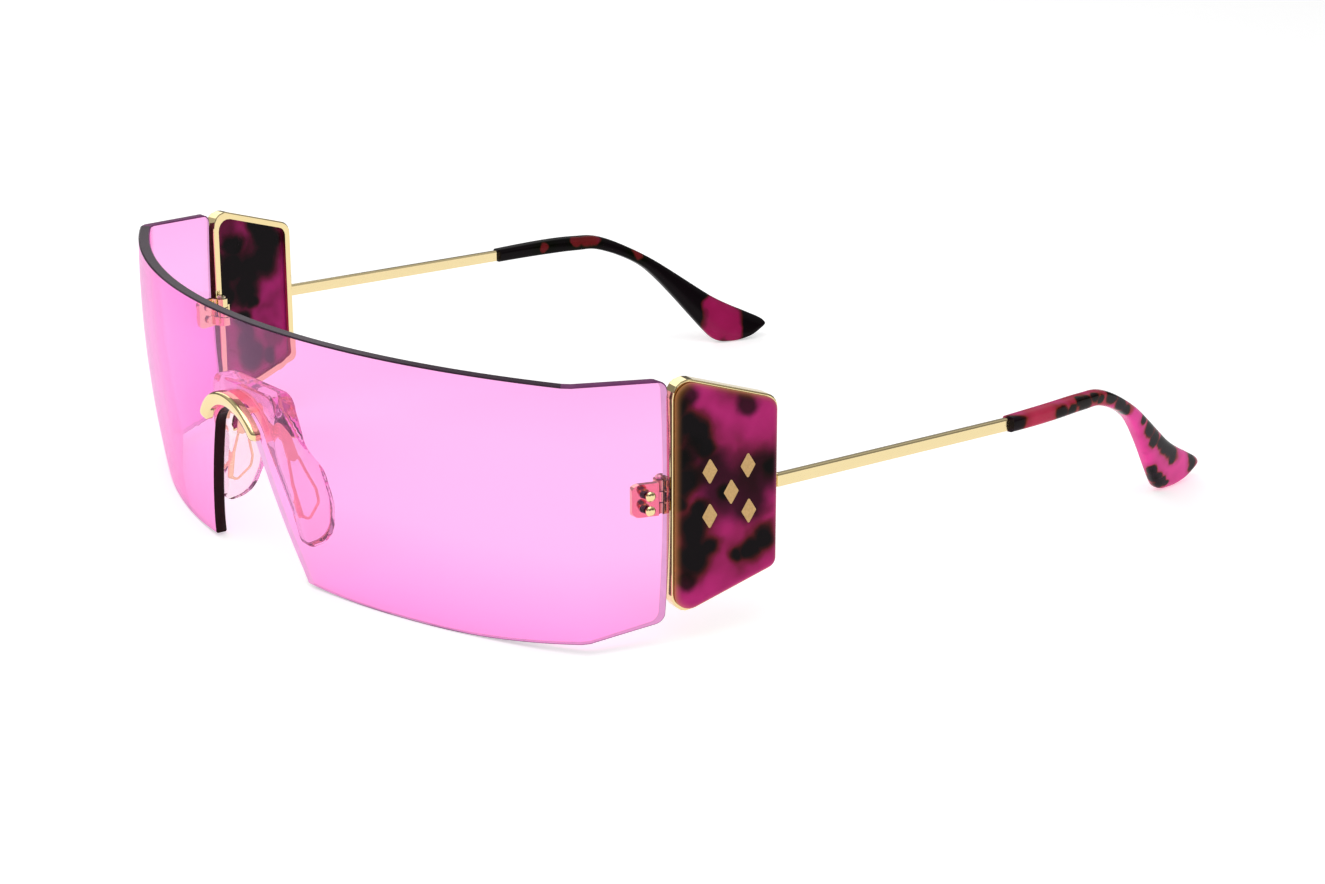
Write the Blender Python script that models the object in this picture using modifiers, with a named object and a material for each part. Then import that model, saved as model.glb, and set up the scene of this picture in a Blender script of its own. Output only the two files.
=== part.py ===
"""One-piece shield sunglasses with framed side panels, folding temples and a clear nose saddle.

Units are metres and +Z is up.  The glasses stand open on a table.  +X is the wearer's left side,
the front faces -Y and the temples run towards +Y.  Shapes are worked out in the hinge frame,
whose y = 0 is the rear edge of the lens; an empty then moves the whole assembly so that the
middle of its box is over the origin.
"""
import math

import bmesh
import bpy
from mathutils import Matrix, Vector

# ---- driving dimensions ----------------------------------------------------------------------
GAP = 0.0003                 # clearance between neighbouring pieces

# lens: an arc across the face, then a straight wing each side, bulged a little over its height
LENS_HEIGHT = 0.0433
LENS_THICKNESS = 0.0020
FACE_RADIUS = 0.1315
FACE_FRONT_Y = -0.0345
FOLD_X = 0.0682              # crease between the face and the wing, at the top edge
WING_ANGLE = math.radians(74.5)
WING_LENGTH = 0.022          # before the rear edge is cut at y = 0
LENS_LEAN = 0.0035           # how far the bottom edge sits behind the top edge
LENS_BULGE = 0.0012          # outward bow at mid height
FLAT_INNER_X = 0.033         # the bottom edge rests on the table between these two widths
FLAT_OUTER_X = 0.043
EDGE_RISE_INNER = 1.85       # curvature of the bottom edge towards the nose, in 1/m
EDGE_RISE_OUTER = 3.2        # and towards the crease
WING_TOP_DROP = 0.0006
WING_BOTTOM_RISE = 0.0021
WING_CORNER = 0.0014

# nose notch in the lens
NOTCH_RADIUS = 0.0075
NOTCH_CENTRE_Z = 0.0198
NOTCH_FLARE = math.radians(21.7)

# bridge clip, its screws and the metal insert of the nose saddle
CLIP_RADIUS = 0.0094
CLIP_HALF_ANGLE = math.radians(64)
CLIP_WIDTH = 0.0023
CLIP_DEPTH = 0.0016
SCREW_ANGLE = math.radians(29)
SCREW_RADIUS = 0.0005
INSERT_THICKNESS = 0.0008
INSERT_WIDTH = 0.0018
INSERT_HALF_ANGLE = math.radians(66)
CORE_THICKNESS = 0.0009

# nose saddle
PAD_THICKNESS = 0.0026
PAD_FOOT_Z = 0.0058
PAD_SETBACK = 0.0013         # middle of the pad outside the notch edge
SADDLE_TOP_Z = 0.0313
SADDLE_SHOULDER_X = 0.0102
SADDLE_FRONT_Y = -0.0312

# hinge
AXIS_X = 0.0691
AXIS_Y = 0.0009
HINGE_BOTTOM_Z = 0.0214
HINGE_TOP_Z = 0.0266
KNUCKLE_RADIUS = 0.00115
PIN_RADIUS = 0.0004
SCREW_HEAD_HEIGHT = 0.0006
KNUCKLE_GAP = 0.0002
LEAF_THICKNESS = 0.0009
LEAF_FRONT_Y = -0.0048
LEAF_REAR_Y = -0.0006
LEAF_CORNER = 0.0012
RIVET_RADIUS = 0.0005
RIVET_HEAD = 0.0008
RIVET_Y = -0.0033
RIVET_Z = (0.0229, 0.0252)

# side panel: gold rim and acetate inlay, flared outwards towards the rear
PANEL_FRONT_X = 0.0731
PANEL_FRONT_Y = 0.00035
PANEL_FLARE = math.atan(3.05 / 18.35)
PANEL_CORNERS = ((0.0, 0.0436), (0.0183, 0.0380), (0.0183, 0.0108), (0.0, 0.0047))
PANEL_CORNER_RADII = (0.0028, 0.0024, 0.0018, 0.0028)
RIM_THICKNESS = 0.0025
RIM_WALL = 0.0007
RIM_FLANGE = 0.0012
RIM_BEVEL = 0.0003
RECESS_DEPTH = 0.0018
INLAY_PROUD = 0.0010
INLAY_LIP = 0.0004           # rim left showing round the slab's outer edge
INLAY_BEVEL = 0.0005

# temple
BAR_HEIGHT = 0.0022
BAR_THICKNESS = 0.0012
BAR_Z = 0.0242
BAR_X = 0.0753
TIP_START_Y = 0.0682
CORE_END_Y = 0.0860
CORE_HEIGHT = 0.0015
CORE_WIDTH = 0.0009
TIP_THICKNESS = 0.0031
TIP_REAR_Y = 0.1291
TIP_INWARD = 0.177           # sideways slope of the bent part, per metre towards the rear
TIP_TWIST = 0.193            # and per metre upwards
TIP_BEND_Y = 0.0782          # where the tip starts to bend inwards
# upper and lower edge (y, z) of the tip, from the sleeve at the bar to the flared end
TIP_STATIONS = (((TIP_START_Y, 0.02555), (TIP_START_Y, 0.02290)),
                ((0.0800, 0.02590), (0.0800, 0.02305)),
                ((0.0880, 0.02580), (0.0874, 0.02305)),
                ((0.0938, 0.02480), (0.0926, 0.02240)),
                ((0.1040, 0.01935), (0.1021, 0.01755)),
                ((0.1165, 0.01035), (0.1110, 0.00720)),
                ((0.1238, 0.00640), (0.1160, 0.00120)),
                ((0.1268, 0.00490), (0.1195, 0.00010)),
                ((0.1284, 0.00390), (0.1225, 0.00020)),
                ((TIP_REAR_Y, 0.00300), (0.1252, 0.00080)))

FRONT_VIEW = Matrix.Rotation(math.pi / 2, 4, "X")
SIDE_VIEW = Matrix.Rotation(math.pi / 2, 4, "Z") @ FRONT_VIEW


# ---- scene and mesh helpers ------------------------------------------------------------------
def clear_scene():
    for obj in list(bpy.data.objects):
        bpy.data.objects.remove(obj, do_unlink=True)


def new_collection(name):
    collection = bpy.data.collections.new(name)
    bpy.context.scene.collection.children.link(collection)
    return collection


def material(name, colour, roughness, metallic=0.0, transmission=0.0):
    mat = bpy.data.materials.new(name)
    mat.use_nodes = True
    shader = mat.node_tree.nodes["Principled BSDF"]
    shader.inputs["Base Color"].default_value = (*colour, 1.0)
    shader.inputs["Roughness"].default_value = roughness
    shader.inputs["Metallic"].default_value = metallic
    shader.inputs["Transmission Weight"].default_value = transmission
    return mat


def add_object(name, mesh):
    obj = bpy.data.objects.new(name, mesh)
    PARTS.objects.link(obj)
    return obj


def take_mesh(obj):
    """The object's evaluated mesh, in world space, with its loose caps welded."""
    bpy.context.view_layer.update()
    graph = bpy.context.evaluated_depsgraph_get()
    mesh = bpy.data.meshes.new_from_object(obj.evaluated_get(graph))
    mesh.transform(obj.matrix_world)
    weld(mesh)
    return mesh


def weld(mesh):
    bm = bmesh.new()
    bm.from_mesh(mesh)
    bmesh.ops.remove_doubles(bm, verts=bm.verts, dist=0.000002)
    bmesh.ops.recalc_face_normals(bm, faces=bm.faces)
    bm.to_mesh(mesh)
    bm.free()


def replace_mesh(obj, mesh):
    obj.modifiers.clear()
    obj.data = mesh
    obj.matrix_world = Matrix.Identity(4)
    return obj


def apply_modifiers(obj):
    return replace_mesh(obj, take_mesh(obj))


def rounded(corners, radii, steps=5):
    """Outline points of a polygon whose corners are arcs of the given radii."""
    points = []
    count = len(corners)
    for i, radius in enumerate(radii):
        corner = Vector(corners[i])
        before = (Vector(corners[i - 1]) - corner).normalized()
        after = (Vector(corners[(i + 1) % count]) - corner).normalized()
        if radius <= 0:
            points.append(corner)
            continue
        half = before.angle(after) / 2
        centre = corner + (before + after).normalized() * radius / math.sin(half)
        start = corner + before * radius / math.tan(half) - centre
        end = corner + after * radius / math.tan(half) - centre
        turn = start.angle_signed(end)
        for step in range(steps + 1):
            spoke = start.copy()
            spoke.rotate(Matrix.Rotation(-turn * step / steps, 2))
            points.append(centre + spoke)
    return points


def slab(name, outlines, near, far, view):
    """A flat outline, given as closed loops, pushed from near to far along the view's depth."""
    curve = bpy.data.curves.new(name, "CURVE")
    curve.dimensions = "2D"
    curve.fill_mode = "BOTH"
    curve.extrude = (far - near) / 2
    for points in outlines:
        spline = curve.splines.new("POLY")
        spline.points.add(len(points) - 1)
        for target, point in zip(spline.points, points):
            target.co = (point[0], point[1], 0.0, 1.0)
        spline.use_cyclic_u = True
    obj = add_object(name, curve)
    obj.matrix_world = view @ Matrix.Translation((0, 0, (near + far) / 2))
    mesh = take_mesh(obj)
    bpy.data.objects.remove(obj, do_unlink=True)
    return add_object(name, mesh)


def cylinder(name, radius, bottom, top, segments=20):
    """A cylinder between two points."""
    axis = Vector(top) - Vector(bottom)
    bm = bmesh.new()
    bmesh.ops.create_cone(bm, cap_ends=True, segments=segments, radius1=radius,
                          radius2=radius, depth=axis.length)
    mesh = bpy.data.meshes.new(name)
    bm.to_mesh(mesh)
    bm.free()
    turn = axis.to_track_quat("Z", "Y").to_matrix().to_4x4()
    mesh.transform(Matrix.Translation((Vector(bottom) + Vector(top)) / 2) @ turn)
    return add_object(name, mesh)


def box(name, low, high):
    bm = bmesh.new()
    bmesh.ops.create_cube(bm, size=1.0)
    mesh = bpy.data.meshes.new(name)
    bm.to_mesh(mesh)
    bm.free()
    low, high = Vector(low), Vector(high)
    size = high - low
    mesh.transform(Matrix.Translation((low + high) / 2) @ Matrix.Diagonal((*size, 1.0)))
    return add_object(name, mesh)


def loft(name, rings):
    """Closed rings of equal length joined into one capped solid."""
    bm = bmesh.new()
    loops = [[bm.verts.new(point) for point in ring] for ring in rings]
    count = len(loops[0])
    for near, far in zip(loops, loops[1:]):
        for i in range(count):
            j = (i + 1) % count
            bm.faces.new((near[i], near[j], far[j], far[i]))
    bm.faces.new(loops[0])
    bm.faces.new(loops[-1])
    bmesh.ops.recalc_face_normals(bm, faces=bm.faces)
    mesh = bpy.data.meshes.new(name)
    bm.to_mesh(mesh)
    bm.free()
    return add_object(name, mesh)


def combine(obj, others, operation):
    """Boolean obj with each of the others, which are used up as hidden cutters."""
    for other in others:
        CUTTERS.objects.link(other)
        PARTS.objects.unlink(other)
        other.hide_render = True
        other.display_type = "WIRE"
        other.name = "cutter_" + other.name
        modifier = obj.modifiers.new(operation.lower(), "BOOLEAN")
        modifier.operation = operation
        modifier.solver = "EXACT"
        modifier.object = other
    return apply_modifiers(obj)


def soften(obj, width, segments=2, angle=math.radians(35)):
    modifier = obj.modifiers.new("edges", "BEVEL")
    modifier.width = width
    modifier.segments = segments
    modifier.limit_method = "ANGLE"
    modifier.angle_limit = angle
    modifier.use_clamp_overlap = True
    return apply_modifiers(obj)


def finish(obj, mat, parent):
    """Give a piece its material and smooth shading, and hang it on its parent."""
    obj.data.materials.clear()
    obj.data.materials.append(mat)
    obj.data.shade_smooth()
    obj.data.set_sharp_from_angle(angle=math.radians(35))
    obj.data.transform(Matrix.Translation(-Vector(parent["place"])))
    obj.parent = parent
    return obj


def mirrored(obj, name, parent):
    """The right-hand twin of a finished left-hand piece."""
    mesh = obj.data.copy()
    mesh.transform(Matrix.Diagonal((-1.0, 1.0, 1.0, 1.0)))
    mesh.flip_normals()
    twin = add_object(name, mesh)
    twin.parent = parent
    return twin


def holder(name, place, parent=None):
    """An empty at a place given in the hinge frame."""
    empty = bpy.data.objects.new(name, None)
    PARTS.objects.link(empty)
    empty["place"] = place
    empty.parent = parent
    empty.location = place
    return empty


# ---- lens ------------------------------------------------------------------------------------
def lens_section(z, offset):
    """Plan of the lens at height z, pushed out by offset: fold point, radius and centre."""
    height = min(max(z / LENS_HEIGHT, 0.0), 1.0)
    centre_y = FACE_FRONT_Y + FACE_RADIUS + LENS_LEAN * (1 - z / LENS_HEIGHT)
    push = offset + LENS_BULGE * (1 - (2 * height - 1) ** 2)
    radius = FACE_RADIUS + push
    along = Vector((math.cos(WING_ANGLE), math.sin(WING_ANGLE)))
    outward = Vector((along.y, -along.x))
    fold = Vector((FOLD_X, -math.sqrt(FACE_RADIUS ** 2 - FOLD_X ** 2))) + outward * push
    # slide along the wing until the offset crease is on the offset arc
    b = fold.dot(along)
    slide = -b - math.sqrt(b * b - fold.length_squared + radius * radius)
    slide = min((slide, -b + math.sqrt(b * b - fold.length_squared + radius ** 2)), key=abs)
    fold += along * slide
    return fold, along, radius, centre_y


def lens_row(z, columns, offset=0.0):
    """Points of the outer lens surface at height z, from the right wing to the left wing."""
    fold, along, radius, centre_y = lens_section(z, offset)
    limit = math.asin(fold.x / radius)
    half = []
    for i in range(1, columns + 1):
        angle = limit * i / columns
        half.append(Vector((radius * math.sin(angle), -radius * math.cos(angle))))
    for i in (1, 2):
        half.append(fold + along * WING_LENGTH * i / 2)
    left = [Vector((p.x, p.y + centre_y, z)) for p in half]
    right = [Vector((-p.x, p.y, p.z)) for p in reversed(left)]
    return right + [Vector((0.0, centre_y - radius, z))] + left


def lens_point(x, z, offset=0.0):
    """Point of the lens face above x, on the outer surface pushed out by offset."""
    fold, along, radius, centre_y = lens_section(z, offset)
    return Vector((x, centre_y - math.sqrt(radius ** 2 - x ** 2), z))


def wing_point(y, z, offset=0.0):
    """Point of the left wing at y, on the outer surface pushed out by offset."""
    fold, along, radius, centre_y = lens_section(z, offset)
    reach = (y - centre_y - fold.y) / along.y
    return Vector((fold.x + along.x * reach, y, z))


def wing_normal():
    return Vector((math.sin(WING_ANGLE), -math.cos(WING_ANGLE), 0.0))


def bottom_edge(x):
    """Height of the lens's bottom edge above the table."""
    if x < FLAT_INNER_X:
        return EDGE_RISE_INNER * (FLAT_INNER_X - x) ** 2
    return EDGE_RISE_OUTER * max(0.0, x - FLAT_OUTER_X) ** 2


def notch_side_x(z, outset=0.0):
    """Half width of the notch's straight side at height z, moved out by outset."""
    reach = (NOTCH_RADIUS + outset) / math.cos(NOTCH_FLARE)
    return reach + (NOTCH_CENTRE_Z - z) * math.tan(NOTCH_FLARE)


def arch(radius, half_angle, steps):
    """Arc over the notch from its right to its left side."""
    points = []
    for i in range(steps + 1):
        angle = half_angle * (2 * i / steps - 1)
        points.append(Vector((radius * math.sin(angle),
                              NOTCH_CENTRE_Z + radius * math.cos(angle))))
    return points


def front_outline():
    """Front view of the lens with its bottom edge and nose notch."""
    foot_z = bottom_edge(notch_side_x(0.0))
    foot_x = notch_side_x(foot_z)
    steps = 4
    inner = [foot_x + (FLAT_INNER_X - foot_x) * i / steps for i in range(steps + 1)]
    outer = [FLAT_OUTER_X + (FOLD_X - FLAT_OUTER_X) * i / 6 for i in range(7)]
    left = [Vector((x, bottom_edge(x))) for x in inner + outer]
    left.append(Vector((0.08, bottom_edge(FOLD_X))))
    left.append(Vector((0.08, LENS_HEIGHT)))
    right = [Vector((-p.x, p.y)) for p in reversed(left)]
    crown = arch(NOTCH_RADIUS, math.pi / 2 - NOTCH_FLARE, 14)
    return right + crown + left


def wing_outline():
    """Side view that shapes the wings and cuts their rear edges."""
    top_y = FACE_FRONT_Y + FACE_RADIUS - math.sqrt(FACE_RADIUS ** 2 - FOLD_X ** 2)
    bottom_y = top_y + LENS_LEAN
    low = bottom_edge(FOLD_X)
    corners = ((-0.06, -0.01), (bottom_y, -0.01), (bottom_y, low),
               (0.0, low + WING_BOTTOM_RISE), (0.0, LENS_HEIGHT - WING_TOP_DROP),
               (top_y, LENS_HEIGHT), (top_y, 0.05), (-0.06, 0.05))
    radii = (0, 0, 0, WING_CORNER, WING_CORNER, 0, 0, 0)
    return rounded(corners, radii, 3)


def make_lens():
    rows = [-0.004 + (LENS_HEIGHT + 0.008) * i / 10 for i in range(11)]
    bm = bmesh.new()
    grid = [[bm.verts.new(p) for p in lens_row(z, 16)] for z in rows]
    for low, high in zip(grid, grid[1:]):
        for i in range(len(low) - 1):
            bm.faces.new((low[i], low[i + 1], high[i + 1], high[i]))
    mesh = bpy.data.meshes.new("lens_shield")
    bm.to_mesh(mesh)
    bm.free()
    lens = add_object("lens_shield", mesh)
    shell = lens.modifiers.new("thickness", "SOLIDIFY")
    shell.thickness = LENS_THICKNESS
    shell.offset = -1.0
    shell.use_even_offset = True
    apply_modifiers(lens)
    front = slab("front_outline", [front_outline()], 0.0, 0.06, FRONT_VIEW)
    side = slab("wing_outline", [wing_outline()], -0.09, 0.09, SIDE_VIEW)
    combine(lens, [front], "INTERSECT")
    combine(lens, [side], "INTERSECT")
    holes = []
    for sign in (-1, 1):
        for z in RIVET_Z:
            a, b = rivet_line(z)
            flip = Vector((sign, 1, 1))
            holes.append(cylinder("rivet_hole", RIVET_RADIUS + GAP, a * flip, b * flip, 16))
        a, b = screw_line(sign)
        holes.append(cylinder("screw_hole", SCREW_RADIUS + GAP, a, b, 16))
    return combine(lens, holes, "DIFFERENCE")


# ---- bridge ----------------------------------------------------------------------------------
def screw_place(sign):
    return Vector((sign * CLIP_RADIUS * math.sin(SCREW_ANGLE), 0.0,
                   NOTCH_CENTRE_Z + CLIP_RADIUS * math.cos(SCREW_ANGLE)))


def screw_line(sign):
    place = screw_place(sign)
    return place + Vector((0, -0.0353, 0)), place + Vector((0, -0.0295, 0))


def clip_back_y(x, z):
    return lens_point(x, z, GAP).y


def assembly_y():
    """Move that puts the middle of the whole length over the origin."""
    front = clip_back_y(0.0, NOTCH_CENTRE_Z + CLIP_RADIUS) - CLIP_DEPTH
    return -(TIP_REAR_Y + front) / 2


def make_bridge_clip():
    """Half-round bar bent over the notch, following the front of the lens."""
    rings = []
    steps = 24
    for i in range(steps + 1):
        angle = CLIP_HALF_ANGLE * (2 * i / steps - 1)
        # the two ends taper into round noses
        run = min(i, steps - i) / 1.6
        taper = math.sqrt(max(0.12, 1 - (1 - min(run, 1.0)) ** 2))
        out = Vector((math.sin(angle), 0.0, math.cos(angle)))
        middle = Vector((0, 0, NOTCH_CENTRE_Z)) + out * CLIP_RADIUS
        ring = []
        for across, proud in ((-1, 0), (-1, 0.55), (-0.72, 0.86), (-0.3, 1), (0.3, 1),
                              (0.72, 0.86), (1, 0.55), (1, 0)):
            point = middle + out * across * CLIP_WIDTH / 2 * taper
            back = clip_back_y(point.x, point.z)
            point.y = back - proud * CLIP_DEPTH * taper
            ring.append(point)
        rings.append(ring)
    clip = loft("bridge_clip", rings)
    bores = []
    for sign in (-1, 1):
        front, back = screw_line(sign)
        bores.append(cylinder("screw_bore", SCREW_RADIUS + GAP, front, back, 16))
    return combine(clip, bores, "DIFFERENCE")


def make_bridge_screw(sign, name):
    """Screw from behind: head on the insert, shank through the lens into the clip."""
    place = screw_place(sign)
    tip = place + Vector((0, -0.0350, 0))
    head_front = place + Vector((0, insert_back_y() + GAP / 3, 0))
    head_back = head_front + Vector((0, 0.0006, 0))
    shank = cylinder(name, SCREW_RADIUS, tip, head_front + Vector((0, 0.0002, 0)), 16)
    head = cylinder("screw_head", 0.001, head_front, head_back, 20)
    combine(shank, [head], "UNION")
    return shank


def insert_front_y():
    return lens_point(0.0095, 0.0225, -LENS_THICKNESS - GAP).y


def insert_back_y():
    return insert_front_y() + INSERT_THICKNESS


def pad_x(z):
    """Middle of the left pad at height z."""
    return notch_side_x(z, PAD_SETBACK)


def lean_with_pad(obj):
    """Shear a flat upright slab so that its middle follows the pad."""
    for vertex in obj.data.vertices:
        vertex.co.x += pad_x(vertex.co.z)
    return obj


def core_outline(grow):
    """Side view of the flat strip and wire loop inside a pad, grown all round."""
    outer = ((-0.0311, 0.0262), (-0.0289, 0.0262), (-0.0269, 0.0210), (-0.0250, 0.0168),
             (-0.0246, 0.0138), (-0.0252, 0.0121), (-0.0275, 0.0104), (-0.0288, 0.0112),
             (-0.0292, 0.0165), (-0.0297, 0.0215))
    radii = (0.0003, 0.0004, 0.001, 0.001, 0.0006, 0.0006, 0.0006, 0.0006, 0.001, 0.001)
    return rounded(inset(outer, -grow), radii, 3)


def core_window():
    inner = ((-0.0284, 0.0202), (-0.0275, 0.0202), (-0.0258, 0.0165), (-0.0254, 0.0139),
             (-0.0260, 0.0125), (-0.0274, 0.0114), (-0.0281, 0.0119), (-0.0284, 0.0165))
    return rounded(inner, (0.0003, 0.0003, 0.001, 0.0005, 0.0005, 0.0003, 0.0003, 0.001), 3)


def insert_arch(grow):
    """Front view of the insert's arched plate, grown all round."""
    half = INSERT_WIDTH / 2 + grow
    spread = INSERT_HALF_ANGLE + grow / CLIP_RADIUS
    inner = arch(CLIP_RADIUS - half, spread, 14)
    outer = list(reversed(arch(CLIP_RADIUS + half, spread, 14)))
    return inner + outer


def make_nose_insert():
    """Metal insert: an arched plate behind the lens with a strip and loop down each pad."""
    insert = slab("nose_insert", [insert_arch(0.0)], -insert_back_y(), -insert_front_y(),
                  FRONT_VIEW)
    arms = []
    for sign in (-1, 1):
        half = CORE_THICKNESS / 2
        arm = slab("arm", [core_outline(0.0), core_window()], -half, half, SIDE_VIEW)
        lean_with_pad(arm)
        if sign < 0:
            arm.data.transform(Matrix.Diagonal((-1.0, 1.0, 1.0, 1.0)))
            arm.data.flip_normals()
        arms.append(arm)
    combine(insert, arms, "UNION")
    holes = []
    for sign in (-1, 1):
        a, b = screw_line(sign)
        holes.append(cylinder("insert_hole", SCREW_RADIUS + GAP / 2, a, b, 16))
    return combine(insert, holes, "DIFFERENCE")


def saddle_front_outline():
    """Front view of the saddle: a broad crown over two legs that follow the notch."""
    foot_z = PAD_FOOT_Z
    half = PAD_THICKNESS / 2 / math.cos(NOTCH_FLARE)
    outer = ((pad_x(foot_z) + half, foot_z), (pad_x(0.0205) + half, 0.0205),
             (SADDLE_SHOULDER_X, SADDLE_TOP_Z))
    left = [Vector(p) for p in outer]
    right = [Vector((-p.x, p.y)) for p in reversed(left)]
    shell = rounded(left + right, (0, 0.006, 0.0022, 0.0022, 0.006, 0), 4)
    radius = NOTCH_RADIUS + PAD_SETBACK - PAD_THICKNESS / 2
    inside = arch(radius, math.pi / 2 - NOTCH_FLARE, 12)
    foot_left = Vector((pad_x(foot_z) - half, foot_z))
    return shell + [Vector((-foot_left.x, foot_z))] + inside + [foot_left]


def saddle_side_outline():
    corners = ((SADDLE_FRONT_Y, 0.034), (-0.0281, 0.034), (-0.0270, 0.0275), (-0.0258, 0.0222),
               (-0.0232, 0.0180), (-0.0227, 0.0128), (-0.0240, 0.0074), (-0.0290, 0.0066),
               (-0.0294, 0.0120), (SADDLE_FRONT_Y, 0.0230))
    return rounded(corners, (0, 0, 0.004, 0.006, 0.004, 0.004, 0.0040, 0.0012, 0.002, 0.002), 4)


def make_nose_saddle():
    """Clear one-piece saddle, open at the outer face of each pad where the insert lies."""
    saddle = slab("nose_saddle", [saddle_front_outline()], 0.018, 0.036, FRONT_VIEW)
    side = slab("saddle_side", [saddle_side_outline()], -0.03, 0.03, SIDE_VIEW)
    combine(saddle, [side], "INTERSECT")
    soften(saddle, 0.0005, 2, math.radians(40))
    cuts = [slab("plate_relief", [insert_arch(GAP)], -insert_back_y() - GAP, 0.036, FRONT_VIEW)]
    for sign in (-1, 1):
        pocket = slab("pocket", [core_outline(GAP)], -CORE_THICKNESS / 2 - GAP, 0.004, SIDE_VIEW)
        lean_with_pad(pocket)
        if sign < 0:
            pocket.data.transform(Matrix.Diagonal((-1.0, 1.0, 1.0, 1.0)))
            pocket.data.flip_normals()
        cuts.append(pocket)
        place = screw_place(sign)
        back = insert_back_y()
        cuts.append(cylinder("head_relief", 0.0014, place + Vector((0, back - 0.002, 0)),
                             place + Vector((0, back + 0.0011, 0)), 20))
    return combine(saddle, cuts, "DIFFERENCE")


# ---- hinges ----------------------------------------------------------------------------------
def rivet_line(z):
    """Line through the left wing on which a rivet sits, from outside to inside."""
    outer = wing_point(RIVET_Y, z)
    normal = wing_normal()
    return outer + normal * 0.003, outer - normal * 0.006


def knuckle(name, low, high):
    return cylinder(name, KNUCKLE_RADIUS, (AXIS_X, AXIS_Y, low), (AXIS_X, AXIS_Y, high), 24)


def knuckle_levels():
    """Bottom and top of the lower, middle and upper knuckles."""
    third = (HINGE_TOP_Z - HINGE_BOTTOM_Z - 2 * KNUCKLE_GAP) / 3
    levels = []
    for i in range(3):
        low = HINGE_BOTTOM_Z + i * (third + KNUCKLE_GAP)
        levels.append((low, low + third))
    return levels


def pin_bore():
    return cylinder("pin_bore", PIN_RADIUS + 0.0001, (AXIS_X, AXIS_Y, HINGE_BOTTOM_Z - 0.001),
                    (AXIS_X, AXIS_Y, HINGE_TOP_Z + 0.001), 16)


def make_hinge_front():
    """Leaf riveted inside the wing, with the lower and upper knuckles."""
    levels = knuckle_levels()
    middle_z = (HINGE_BOTTOM_Z + HINGE_TOP_Z) / 2
    near = wing_point(LEAF_FRONT_Y, middle_z, -LENS_THICKNESS - GAP).xy
    far = wing_point(LEAF_REAR_Y, middle_z, -LENS_THICKNESS - GAP).xy
    inward = -wing_normal().xy * LEAF_THICKNESS
    plan = [near, near + inward, far + inward, far]
    leaf = slab("hinge_front_left", [plan], HINGE_BOTTOM_Z - 0.001, HINGE_TOP_Z + 0.001,
                Matrix.Identity(4))
    side = [(LEAF_FRONT_Y, HINGE_BOTTOM_Z), (-LEAF_FRONT_Y, HINGE_BOTTOM_Z),
            (-LEAF_FRONT_Y, HINGE_TOP_Z), (LEAF_FRONT_Y, HINGE_TOP_Z)]
    shape = slab("leaf_shape", [rounded(side, (LEAF_CORNER, 0, 0, LEAF_CORNER), 4)], 0.06, 0.08,
                 SIDE_VIEW)
    combine(leaf, [shape], "INTERSECT")
    arms = []
    for low, high in (levels[0], levels[2]):
        tangent = [(far.x - 0.00025, far.y - 0.0004), (far.x + inward.x, far.y + inward.y - 0.0004),
                   (AXIS_X - 0.0009, AXIS_Y - 0.0002), (AXIS_X + 0.0005, AXIS_Y + 0.0006)]
        arms.append(slab("arm", [tangent], low, high, Matrix.Identity(4)))
        arms.append(knuckle("knuckle", low, high))
    combine(leaf, arms, "UNION")
    cuts = [pin_bore()]
    for z in RIVET_Z:
        a, b = rivet_line(z)
        cuts.append(cylinder("leaf_hole", RIVET_RADIUS + GAP / 2, a, b, 16))
    return combine(leaf, cuts, "DIFFERENCE")


def panel_place(along, depth, z):
    """Point of the left panel: along from its front edge, depth inwards from its outer face."""
    ahead = Vector((math.sin(PANEL_FLARE), math.cos(PANEL_FLARE)))
    inward = Vector((-ahead.y, ahead.x))
    plan = Vector((PANEL_FRONT_X, PANEL_FRONT_Y)) + ahead * along + inward * depth
    return Vector((plan.x, plan.y, z))


def make_hinge_rear():
    """Leaf soldered inside the panel rim, with the middle knuckle."""
    low, high = knuckle_levels()[1]
    depth = RIM_THICKNESS + GAP
    near = panel_place(0.0004, depth, 0).xy
    far = panel_place(0.0020, depth, 0).xy
    inward = (panel_place(0, 1, 0) - panel_place(0, 0, 0)).xy.normalized() * LEAF_THICKNESS
    plan = [near, far, far + inward, near + inward]
    leaf = slab("hinge_rear_left", [plan], low - KNUCKLE_GAP, high + KNUCKLE_GAP,
                Matrix.Identity(4))
    bridge = [(AXIS_X + 0.0007, AXIS_Y), near, near + Vector((0.0001, 0.0012)),
              near + inward + Vector((0.0001, 0.0012)), (AXIS_X - 0.0008, AXIS_Y)]
    arm = slab("arm", [bridge], low, high, Matrix.Identity(4))
    combine(leaf, [arm, knuckle("knuckle", low, high)], "UNION")
    # room for the front knuckles as the leaf turns
    rooms = []
    for start, end in (knuckle_levels()[0], knuckle_levels()[2]):
        rooms.append(cylinder("room", KNUCKLE_RADIUS + GAP, (AXIS_X, AXIS_Y, start - KNUCKLE_GAP),
                              (AXIS_X, AXIS_Y, end + KNUCKLE_GAP), 24))
    return combine(leaf, rooms + [pin_bore()], "DIFFERENCE")


def turned(name, profile, segments=20):
    """A solid of revolution about Z from (radius, height) points listed top to bottom."""
    curve_mesh = bpy.data.meshes.new(name)
    bm = bmesh.new()
    verts = [bm.verts.new((radius, 0.0, height)) for radius, height in profile]
    for a, b in zip(verts, verts[1:]):
        bm.edges.new((a, b))
    bm.to_mesh(curve_mesh)
    bm.free()
    obj = add_object(name, curve_mesh)
    screw = obj.modifiers.new("turn", "SCREW")
    screw.steps = segments
    screw.render_steps = segments
    screw.use_merge_vertices = True
    screw.merge_threshold = 0.000002
    return apply_modifiers(obj)


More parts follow.
